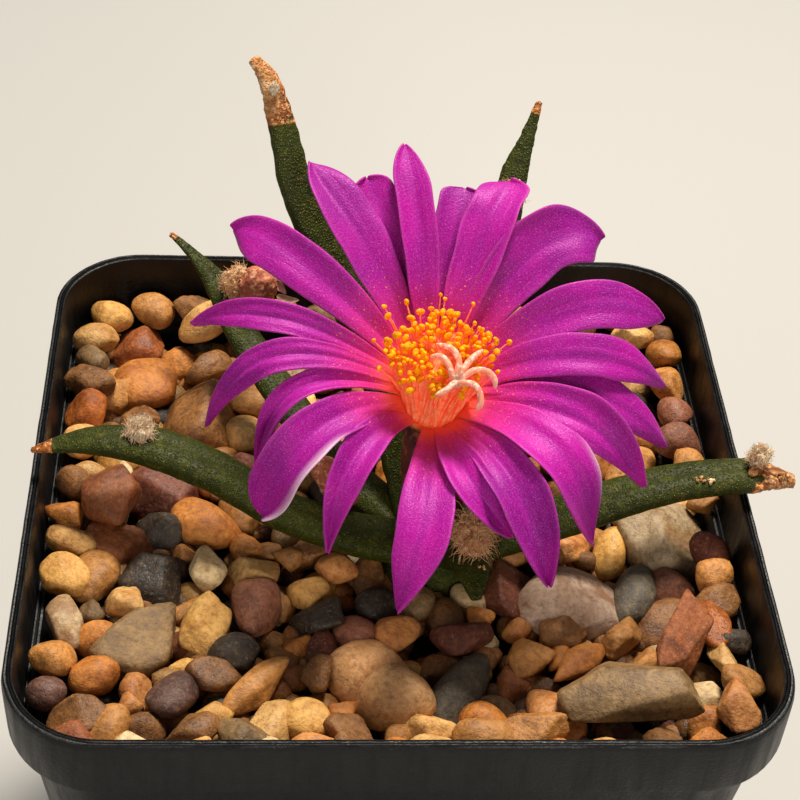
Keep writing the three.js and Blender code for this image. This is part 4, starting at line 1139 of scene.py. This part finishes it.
def make_pot(material):
    width, corner, _ = POT_RINGS[0]
    bm = bmesh.new()
    bmesh.ops.create_grid(bm, x_segments=1, y_segments=1, size=width / 2)
    bmesh.ops.bevel(bm, geom=list(bm.verts), offset=corner, segments=CORNER_STEPS, profile=0.5,
                    affect="VERTICES", material=-1)
    bmesh.ops.delete(bm, geom=list(bm.faces), context="FACES_ONLY")
    sides = [edge for edge in bm.edges if edge.calc_length() > corner]
    bmesh.ops.subdivide_edges(bm, edges=sides, cuts=SIDE_STEPS)
    loop = list(bm.edges)
    bmesh.ops.contextual_create(bm, geom=loop)
    for old, new in zip(POT_RINGS, POT_RINGS[1:]):
        loop = square_loop(bm, loop, old, new)
    bmesh.ops.contextual_create(bm, geom=loop)
    for vert in bm.verts:
        on_rim = clamp((vert.co.z - RIM_ROUGH_FROM) / RIM_ROUGH_RISE)
        spot = vert.co * 0.6
        way = Vector((vert.co.x, vert.co.y, 0)).normalized()
        vert.co += way * (-RIM_ROUGHNESS * on_rim * (1 + noise.noise(spot) + 0.8 * noise.noise(spot * 3)))
    bmesh.ops.recalc_face_normals(bm, faces=bm.faces)
    drills = bmesh.new()
    for x, y in DRAINS:
        place = Matrix.Translation((x, y, 0))
        bmesh.ops.create_cone(drills, cap_ends=True, segments=40, radius1=DRAIN_DIAMETER / 2,
                              radius2=DRAIN_DIAMETER / 2, depth=DRAIN_CUT, matrix=place)
    mesh = cut_out(bm, drills)
    finished("pot_shell", mesh, material, "pot_plastic", "pot")
    mesh.set_sharp_from_angle(angle=math.radians(SHARP_EDGE))


# Plant

def tubercle_line(points):
    """The line, the widths and the upward side of a tubercle."""
    line = through([from_rim(p) for p in points], 12)
    up = (from_rim((CROWN[0], CROWN[1], 40)) - from_rim(points[2])).normalized()
    return line, [p[3] for p in points], up


def tubercle_frame(line, widths, up, share):
    """Place, three directions and width at a share of a tubercle's length."""
    place, along = along_line(line, share)
    across = along.cross(up).normalized()
    over = across.cross(along)
    at = share * (len(widths) - 1)
    before = min(int(at), len(widths) - 2)
    return place, along, across, over, lerp(widths[before], widths[before + 1], at - before)


def make_tubercle(name, seed):
    points, dry_from, ragged = TUBERCLES[name]
    ripples, horn_tone = TUBERCLE_HABITS[name]
    line, widths, up = tubercle_line(points)
    length = sum((b - a).length for a, b in zip(line, line[1:]))
    offset = Vector((seed * 17, 0, 0))

    def dryness(share, spot):
        return clamp(0.5 + (share - dry_from + 0.06 * ragged * noise.noise(spot)) * 30)

    def skin(turn, share):
        place, along, across, over, width = tubercle_frame(line, widths, up, share)
        angle = 2 * math.pi * turn
        side, rise = -math.cos(angle), math.sin(angle)
        depth = TUBERCLE_THICKNESS * (0.8 if rise > 0 else 1.15) * width / 2
        keel = 1 - 0.25 * (1 - abs(side)) ** 2 if rise > 0 else 1
        out = across * (side * width / 2) + over * (rise * depth * keel)
        spot = place + out + offset
        dry = dryness(share, spot * 0.9)
        swell = 1 + 0.035 * noise.noise(spot * 0.45)
        ripple = ripples * noise.noise(Vector((share * length * 1.1, side * 0.7, seed)))
        wither = dry * ragged * (0.26 * noise.noise(spot * 0.9) + 0.18 * noise.noise(spot * 2.3))
        fine = (0.02 + 0.05 * dry) * noise.noise(spot * 5.0)
        return place + out * (swell + wither) + out.normalized() * (ripple + fine)

    bm = wrapped(TUBERCLE_SIDES, TUBERCLE_RINGS, skin)
    dry_layer = bm.verts.layers.float.new("dry")
    horn_layer = bm.verts.layers.float.new("pale_horn")
    for vert in bm.verts:
        nearest = min(range(len(line)), key=lambda k: (line[k] - vert.co).length_squared)
        share = nearest / (len(line) - 1)
        vert[dry_layer] = dryness(share, vert.co * 0.9 + offset)
        left_side = clamp(0.6 - 0.6 * (vert.co.x - line[nearest].x))
        vert[horn_layer] = horn_tone * left_side * eased((share - dry_from) / 0.09)
    return bm


def make_crumb(middle, spread, radius, pale, draw):
    """One crumb of dried skin near a place measured from the rim."""
    size = radius * (0.5 + 0.5 * draw())
    crumb = pebble_shape((size * (0.8 + 0.5 * draw()), size, size * (0.6 + 0.4 * draw())), 2, 0.3, draw)
    away = [2 * draw() - 1 for _ in range(3)]
    place = from_rim([m + s * a for m, s, a in zip(middle, spread, away)])
    turn = Matrix.Rotation(math.pi * draw(), 4, any_way(draw))
    bmesh.ops.transform(crumb, matrix=Matrix.Translation(place) @ turn, verts=crumb.verts)
    mark(crumb, "dry", 1.0)
    mark(crumb, "pale_horn", clamp(pale + 0.4 * draw() - 0.2))
    return crumb


def make_plant(material):
    whole = bmesh.new()
    low = CROWN[2] - TAPROOT_LENGTH
    profile = [(0, low), (1.8, low + 1), (3.8, low + 11), (5.2, low + 21), (CROWN_RADIUS, -12),
               (CROWN_RADIUS - 1.2, -8.5), (CROWN_RADIUS - 2.2, -6), (CROWN_FLAT, CROWN[2] - 0.6),
               (0, CROWN[2] - 0.4)]
    stem = bmesh.new()
    outline = [stem.verts.new((CROWN[0] + r, CROWN[1], POT_HEIGHT + z)) for r, z in profile]
    edges = [stem.edges.new(pair) for pair in zip(outline, outline[1:])]
    bmesh.ops.spin(stem, geom=outline + edges, axis=(0, 0, 1), cent=(CROWN[0], CROWN[1], 0),
                   angle=2 * math.pi, steps=40, use_merge=True)
    bmesh.ops.remove_doubles(stem, verts=stem.verts, dist=1e-4)
    bmesh.ops.recalc_face_normals(stem, faces=stem.faces)
    mark(stem, "dry", 0.0)
    mark(stem, "pale_horn", 0.0)
    gather(whole, stem)
    for k, name in enumerate(TUBERCLES):
        gather(whole, make_tubercle(name, k + 1))
    draw = draws(77)
    for middle, spread, count, radius, pale in CRUSTS:
        for _ in range(count):
            gather(whole, make_crumb(middle, spread, radius, pale, draw))
    finished("cactus_plant", whole, material, "green_skin", "cactus_body")


# Wool and fruits

def make_wool(name, seed, material):
    """A tuft: a matted heart and fine curly hairs that lie round it."""
    place, half, hairs, reach, upright, warmth = TUFTS[name]
    draw = draws(seed)
    middle = from_rim(place)
    offset = Vector((seed, 0, 0))

    def lump(way):
        return 0.86 + 0.4 * noise.noise(way * 1.9 + offset) + 0.22 * noise.noise(way * 5 + offset)

    whole = ball(5, lambda way: middle + sized(way, half) * (lump(way) + 0.07 * noise.noise(way * 14)))
    paths = []
    for _ in range(hairs):
        way = any_way(draw)
        size = lump(way) * (0.8 + 0.25 * draw())
        spot = middle + sized(way, half) * size
        heading = (way * 0.5 + any_way(draw) + Vector((0, 0, upright))).normalized()
        curl = any_way(draw)
        step = (HAIR_STEP[0] + HAIR_STEP[1] * draw() ** 2) * (0.5 + reach) * min(1, (half[0] + half[1]) / 2.4)
        places = [spot]
        for _ in HAIR_THINNING[1:]:
            inward = (spot - middle).normalized() * (0.25 - 0.25 * upright)
            heading = (heading + curl.cross(heading) * 0.8 - inward).normalized()
            spot = spot + heading * step
            places.append(spot)
        paths.append((places, HAIR_THINNING))
    hair_mesh = strands(paths, HAIR_RADIUS)
    whole.from_mesh(hair_mesh)
    bpy.data.meshes.remove(hair_mesh)
    layer = whole.verts.layers.float.new("warmth")
    for vert in whole.verts:
        low = (middle.z - vert.co.z) / half[2]
        vert[layer] = clamp(warmth + 0.25 * low + 0.5 * noise.noise(vert.co * 1.1))
    shown_for = ["wool_" + name] if "wool_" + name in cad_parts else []
    finished("tuft_" + name, whole, material, "wool", *shown_for)


def make_rags(material):
    """Shreds of old dry petals: thin cupped ribbons."""
    whole = bmesh.new()
    for points, width, code in RAGS:
        line = through([from_rim(p) for p in points], 8)

        def skin(turn, share, line=line, width=width):
            place, along = along_line(line, share)
            across = along.cross(Vector((0, -0.77, 0.64))).normalized()
            over = across.cross(along)
            half = width / 2 * math.sin(math.pi * lerp(0.12, 0.95, share))
            side = math.cos(2 * math.pi * turn)
            cupped = 0.06 * math.sin(2 * math.pi * turn) + 0.5 * half * side * side
            return place + across * (side * half) + over * cupped

        rag = wrapped(24, 24, skin)
        mark(rag, "rag_colour", paint(code))
        gather(whole, rag)
    finished("dry_shreds", whole, material, "petal")


def make_fruit(name, place, half, lean, seed, material):
    offset = Vector((seed, 0, 0))

    def surface(way):
        ribs = 0.03 * math.cos(5 * math.atan2(way.y, way.x)) * (1 - way.z * way.z)
        dent = 0.1 * eased((way.z - 0.7) / 0.3)
        lumps = 0.14 * noise.noise(way * 2 + offset) + 0.05 * noise.noise(way * 6 + offset)
        return sized(way, half) * (1 + ribs + lumps - dent)

    bm = ball(5, surface)
    turn = Matrix.Rotation(math.radians(lean[0]), 4, "Y") @ Matrix.Rotation(math.radians(-lean[1]), 4, "X")
    bmesh.ops.transform(bm, matrix=Matrix.Translation(from_rim(place)) @ turn, verts=bm.verts)
    finished("berry_" + name, bm, material, "fruit_skin", "fruit_" + name)


# Flower

BLOOM = Matrix.Translation(from_rim(BLOOM_PLACE)) @ Matrix.Rotation(math.radians(BLOOM_TILT), 4, "X")
TO_BLOOM = BLOOM.inverted()


def polar(azimuth, reach, lift):
    angle = math.radians(azimuth)
    return Vector((reach * math.cos(angle), reach * math.sin(angle), lift))


def dipped(place):
    """A place near the flower's mouth, moved out and down where the mouth dips toward the front."""
    flat = math.hypot(place.x, place.y)
    front = max(0.0, -place.y / max(flat, 0.1)) * eased((place.z + THROAT_DEPTH) / 4)
    return place + Vector((0, -LIP_DIP[0] * front, -LIP_DIP[1] * front))


def petal_half_width(share, width, taper_from):
    """Half the width of a petal: narrow at the root, then full, then tapered; a late taper is blunt."""
    rise = 0.34 + 0.66 * math.sin((math.pi / 2) * min(1, share / 0.55))
    blunt = clamp((taper_from - 0.5) / 0.35)
    past = clamp((share - taper_from) / (1 - taper_from))
    return max(0.1, (width / 2) * rise * (1 - past ** lerp(1.7, 2.3, blunt)) ** lerp(0.95, 0.6, blunt))


def petal_middle(shape, share):
    root_azimuth, half, tip, _, _, hook = shape
    place = (dipped(polar(root_azimuth, *PETAL_ROOT)) * ((1 - share) * (1 - 2 * share))
             + polar(*half) * (4 * share * (1 - share)) + polar(*tip) * (share * (2 * share - 1)))
    place.z -= hook * share ** 7
    return place


def make_petal(name, seed, tone):
    shape = PETALS[name]
    width, cup = shape[3], shape[4]
    taper_from, lean, left_turn, right_turn, fold_root, fold_tip = PETAL_HABITS[name]
    pale_side, pale_from, pale_width = PALE_EDGES.get(name, (0, 2, 1))
    bm = bmesh.new()
    bm.loops.layers.uv.new("UVMap")
    pale_layer = bm.verts.layers.float.new("pale")
    tone_layer = bm.verts.layers.float.new("petal_tone")
    bmesh.ops.create_grid(bm, x_segments=PETAL_GRID[0], y_segments=PETAL_GRID[1], size=1, calc_uvs=True)
    for vert in bm.verts:
        side, share = vert.co.x, (vert.co.y + 1) / 2
        ahead = petal_middle(shape, min(1, share + 0.02))
        behind = petal_middle(shape, max(0, share - 0.02))
        along = (ahead - behind).normalized()
        across = along.cross(Vector((0, 0, 1))).normalized()
        over = across.cross(along)
        reach = petal_half_width(share, width, taper_from)
        edge = noise.noise(Vector((share * 6, seed * 3.7, 2 if side > 0 else 7)))
        reach *= 1 + 0.09 * edge * side * side
        sway = width * (lean * eased((share - 0.55) / 0.45) - 0.3 * lean * math.sin(math.pi * share))
        turn = right_turn if side > 0 else left_turn
        lift = width * side * side * (cup * math.sin(math.pi * share) + turn * eased(1.5 * share))
        flutter = noise.noise(Vector((share * 4.5, seed * 5.1, 4 if side > 0 else 9)))
        wave = 0.5 * side * side * flutter * share
        from_fold = (side - lerp(fold_root, fold_tip, share)) / 0.17
        groove = -0.24 * math.exp(-from_fold ** 2) * math.sin(math.pi * share ** 0.8)
        crumple = 0.3 * noise.noise(Vector((side * 1.2, share * 3.4, seed * 2.3)))
        ribs = (0.06 * math.cos(9 * side + seed) + crumple) * math.sin(math.pi * share)
        vert[pale_layer] = eased((side * pale_side - 1 + pale_width) / 0.3) * eased((share - pale_from) / 0.2)
        vert[tone_layer] = tone
        vert.co = (petal_middle(shape, share) + across * (side * reach + sway)
                   + over * (lift + wave + groove + ribs))
    return bm


def make_petals(material):
    draw = draws(5)
    whole = bmesh.new()
    for k, name in enumerate(PETALS):
        gather(whole, make_petal(name, k + 1, draw()))
    bmesh.ops.transform(whole, matrix=BLOOM, verts=whole.verts)
    piece = finished("petals", whole, material, "petal", "flower")
    wall = piece.modifiers.new("thickness", "SOLIDIFY")
    wall.thickness = PETAL_THICKNESS * MM
    wall.offset = 0
    smooth = piece.modifiers.new("smooth", "SUBSURF")
    smooth.levels = smooth.render_levels = 1


def tube_radius(height):
    """Outer radius of the upper stretch of the tube, by height below the mouth."""
    return lerp(TUBE_RADIUS, MOUTH_RADIUS, max(0, 1 + height / THROAT_DEPTH) ** 1.4)


def make_tube(material):
    foot = TO_BLOOM @ from_rim((CROWN[0], CROWN[1], CROWN[2] + 0.35))
    foot_up = TO_BLOOM.to_3x3() @ Vector((0, 0, 1))
    bend = [foot, foot + foot_up * 5, Vector((0, 0, -THROAT_DEPTH - 3)), Vector((0, 0, -THROAT_DEPTH))]

    def bezier(t):
        return (bend[0] * (1 - t) ** 3 + bend[1] * (3 * t * (1 - t) ** 2)
                + bend[2] * (3 * t * t * (1 - t)) + bend[3] * t ** 3)

    rings = []
    for i in range(TUBE_STEPS + 1):
        share = i / TUBE_STEPS
        swell = 0.5 * math.sin(math.pi * min(1, share * 1.5))
        along = (bezier(min(1, share + 0.01)) - bezier(max(0, share - 0.01))).normalized()
        rings.append((bezier(share), along, TUBE_RADIUS + swell))
    outside = [(z, tube_radius(z)) for z in (-5, -4, -3, -2, LIP_LEVEL)]
    lip = [(LIP_LEVEL + 0.15, tube_radius(LIP_LEVEL) - TUBE_WALL / 2)]
    inside = [(z, tube_radius(z) - TUBE_WALL) for z in (LIP_LEVEL, -2, -3, -4, -5, THROAT_FLOOR)]
    for z, radius in [*outside, *lip, *inside, (THROAT_FLOOR, 0.2)]:
        rings.append((Vector((0, 0, z)), Vector((0, 0, 1)), radius))
    last = len(rings) - 1

    def skin(turn, share):
        middle, along, radius = rings[round(share * last)]
        angle = 2 * math.pi * turn
        over = along.cross(Vector((1, 0, 0))).normalized()
        across = over.cross(along).normalized()
        return middle + across * (radius * math.cos(angle)) + over * (radius * math.sin(angle))

    bm = wrapped(48, last, skin)
    layer = bm.verts.layers.float.new("inside")
    for vert in bm.verts:
        flat = math.hypot(vert.co.x, vert.co.y)
        within = vert.co.z > THROAT_FLOOR - 0.05 and flat < tube_radius(vert.co.z) - TUBE_WALL / 3
        vert[layer] = 1 if within else 0
        vert.co = dipped(vert.co)
    bmesh.ops.transform(bm, matrix=BLOOM, verts=bm.verts)
    finished("flower_tube", bm, material, "petal", "flower")


def make_stamens(filament_material, anther_material):
    draw = draws(11)
    paths = []
    anthers = bmesh.new()
    cloud_place, cloud_half = Vector(ANTHER_CLOUD[0]), ANTHER_CLOUD[1]
    for k in range(STAMENS):
        azimuth = k * STAMEN_TURN
        share = math.sqrt((k + 0.5) / STAMENS)
        around = polar(azimuth + 20 * (draw() - 0.5), lerp(0.06, 0.96, share), 2.4 * draw() - 1.2)
        jostle = [noise.noise(around * 2.6 + Vector((0, 0, 20 * axis))) for axis in range(3)]
        around += Vector(jostle) * 0.3
        tip = cloud_place + sized(around, cloud_half)
        if k < len(STRAY_ANTHERS):
            tip = Vector(STRAY_ANTHERS[k])
            azimuth = math.degrees(math.atan2(tip.y, tip.x))
            share = 1
        root = dipped(polar(azimuth, 1 + 1.9 * share, -3.6 + 2 * share))
        bow = root.lerp(tip, 0.5) + polar(azimuth, -0.3 * share + 0.3 * draw(), 0.3)
        line = through([root, bow, tip], 3)
        paths.append((line, [2, 1.9, 1.6, 1.2, 0.9, 0.7, 0.6]))
        size = 0.82 + 0.5 * draw()
        anther = ball(2, lambda way, size=size: sized(way, ANTHER_HALF) * size)
        turn = Matrix.Rotation(2 * math.pi * draw(), 4, "Z") @ Matrix.Rotation(math.pi * draw(), 4, "X")
        bmesh.ops.transform(anther, matrix=Matrix.Translation(tip) @ turn, verts=anther.verts)
        gather(anthers, anther)
    bmesh.ops.transform(anthers, matrix=BLOOM, verts=anthers.verts)
    finished("anthers", anthers, anther_material, "stamen", "stamens")

    def bundle(turn, share):
        """The close-packed bundle of filaments that fills the throat behind those that show singly."""
        foot = dipped(polar(360 * turn, *BUNDLE_FOOT))
        top = cloud_place + sized(polar(360 * turn, *BUNDLE_TOP), cloud_half)
        place = foot.lerp(top, min(1, share / BUNDLE_SHOULDER))
        middle = Vector((cloud_place[0], cloud_place[1], top.z + 0.2))
        inward = max(0, share - BUNDLE_SHOULDER) / (1 - BUNDLE_SHOULDER)
        return place.lerp(middle, inward) * (1 + 0.015 * math.cos(2 * math.pi * turn * BUNDLE_RIDGES))

    whole = wrapped(360, 10, bundle)
    mesh = strands(paths, FILAMENT_RADIUS, 1)
    whole.from_mesh(mesh)
    bpy.data.meshes.remove(mesh)
    bmesh.ops.transform(whole, matrix=BLOOM, verts=whole.verts)
    finished("filaments", whole, filament_material, "stamen", "stamens")


def make_pistil(material):
    top = Vector(STIGMA_PLACE)
    style = through([Vector((0, 0, THROAT_FLOOR + 0.3)), Vector((0.3, -0.2, -1)), top], 6)
    paths = [(style, [STYLE_RADIUS] * len(style))]
    for lobe in STIGMA_LOBES:
        line = through([top] + [top + Vector(p) for p in lobe], 6)
        last = len(line) - 1
        radii = [LOBE_RADIUS * math.sqrt(clamp(1.04 - (k / last) ** 8)) for k in range(len(line))]
        paths.append((line, radii))
    mesh = strands(paths, 1.0, 3)
    mesh.transform(BLOOM)
    finished("style_and_stigma", mesh, material, "stigma", "pistil")


# Room

def floor_paint():
    made, tree, shader, place = new_material("pale floor")
    shade = mixed(tree, cloud(tree, place, 3.0, 2.0, 0.5), paint("#b3b1ad"), paint("#bab8b4"))
    fill_inputs(tree, shader, {"Base Color": shade, "Roughness": 0.7})
    return made


def make_floor():
    bm = bmesh.new()
    bmesh.ops.create_grid(bm, x_segments=1, y_segments=1, size=FLOOR_SIZE)
    mesh = bpy.data.meshes.new("floor")
    bm.to_mesh(mesh)
    bm.free()
    mesh.materials.append(floor_paint())
    floor = bpy.data.objects.new("floor", mesh)
    scene.collection.objects.link(floor)


def add_light(name, place, aim, size, power, colour):
    lamp = bpy.data.lights.new(name, "AREA")
    lamp.size = size
    lamp.energy = power
    lamp.color = colour
    holder = bpy.data.objects.new(name, lamp)
    scene.collection.objects.link(holder)
    holder.location = place
    holder.rotation_euler = (Vector(aim) - Vector(place)).to_track_quat("-Z", "Y").to_euler()


def make_camera():
    lens = bpy.data.cameras.new("camera")
    lens.lens = CAMERA_LENS
    lens.sensor_width = CAMERA_SENSOR
    lens.clip_start = 0.01
    holder = bpy.data.objects.new("camera", lens)
    scene.collection.objects.link(holder)
    back = -Vector(CAMERA_FORWARD).normalized()
    up = back.cross(Vector(CAMERA_RIGHT)).normalized()
    right = up.cross(back)
    turn = Matrix((right, up, back)).transposed().to_4x4()
    holder.matrix_world = Matrix.Translation(Vector(CAMERA_PLACE) * MM) @ turn
    scene.camera = holder


def light_room():
    world = bpy.data.worlds.new("soft room")
    world.use_nodes = True
    sky = world.node_tree.nodes["Background"]
    fill_inputs(world.node_tree, sky, {"Color": SKY_COLOUR, "Strength": SKY_STRENGTH})
    scene.world = world
    scene.view_settings.view_transform = "Standard"
    for lamp in LAMPS:
        add_light(*lamp)


make_camera()
light_room()
make_floor()

make_pot(black_plastic())
stone_finish = pebble()
shown_stones = spread_stones()
make_gravel(shown_stones, stone_finish)
make_small_stones(shown_stones, stone_finish)
make_plant(green_skin())
wool_finish = wool_fibre()
for index, tuft in enumerate(TUFTS):
    make_wool(tuft, 50 + index, wool_finish)
berry_finish = fruit_skin()
for index, (fruit, (fruit_place, fruit_half, fruit_lean)) in enumerate(FRUITS.items()):
    make_fruit(fruit, fruit_place, fruit_half, fruit_lean, 40 + index, berry_finish)
make_rags(dry_petal())
make_petals(petal_silk())
make_tube(tube_skin())
make_stamens(soft_organ("filament", ("#ff9464", "#f67044", "#ffb080"), 0.00002, 0.16),
             soft_organ("anther", ("#ff9a00", "#f88400", "#ffb000"), 0.00006))
make_pistil(soft_organ("stigma", ("#f7ab90", "#ef9076", "#fbcab6"), 0.00005))

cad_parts["soil"].data.materials.clear()
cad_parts["soil"].data.materials.append(compost())
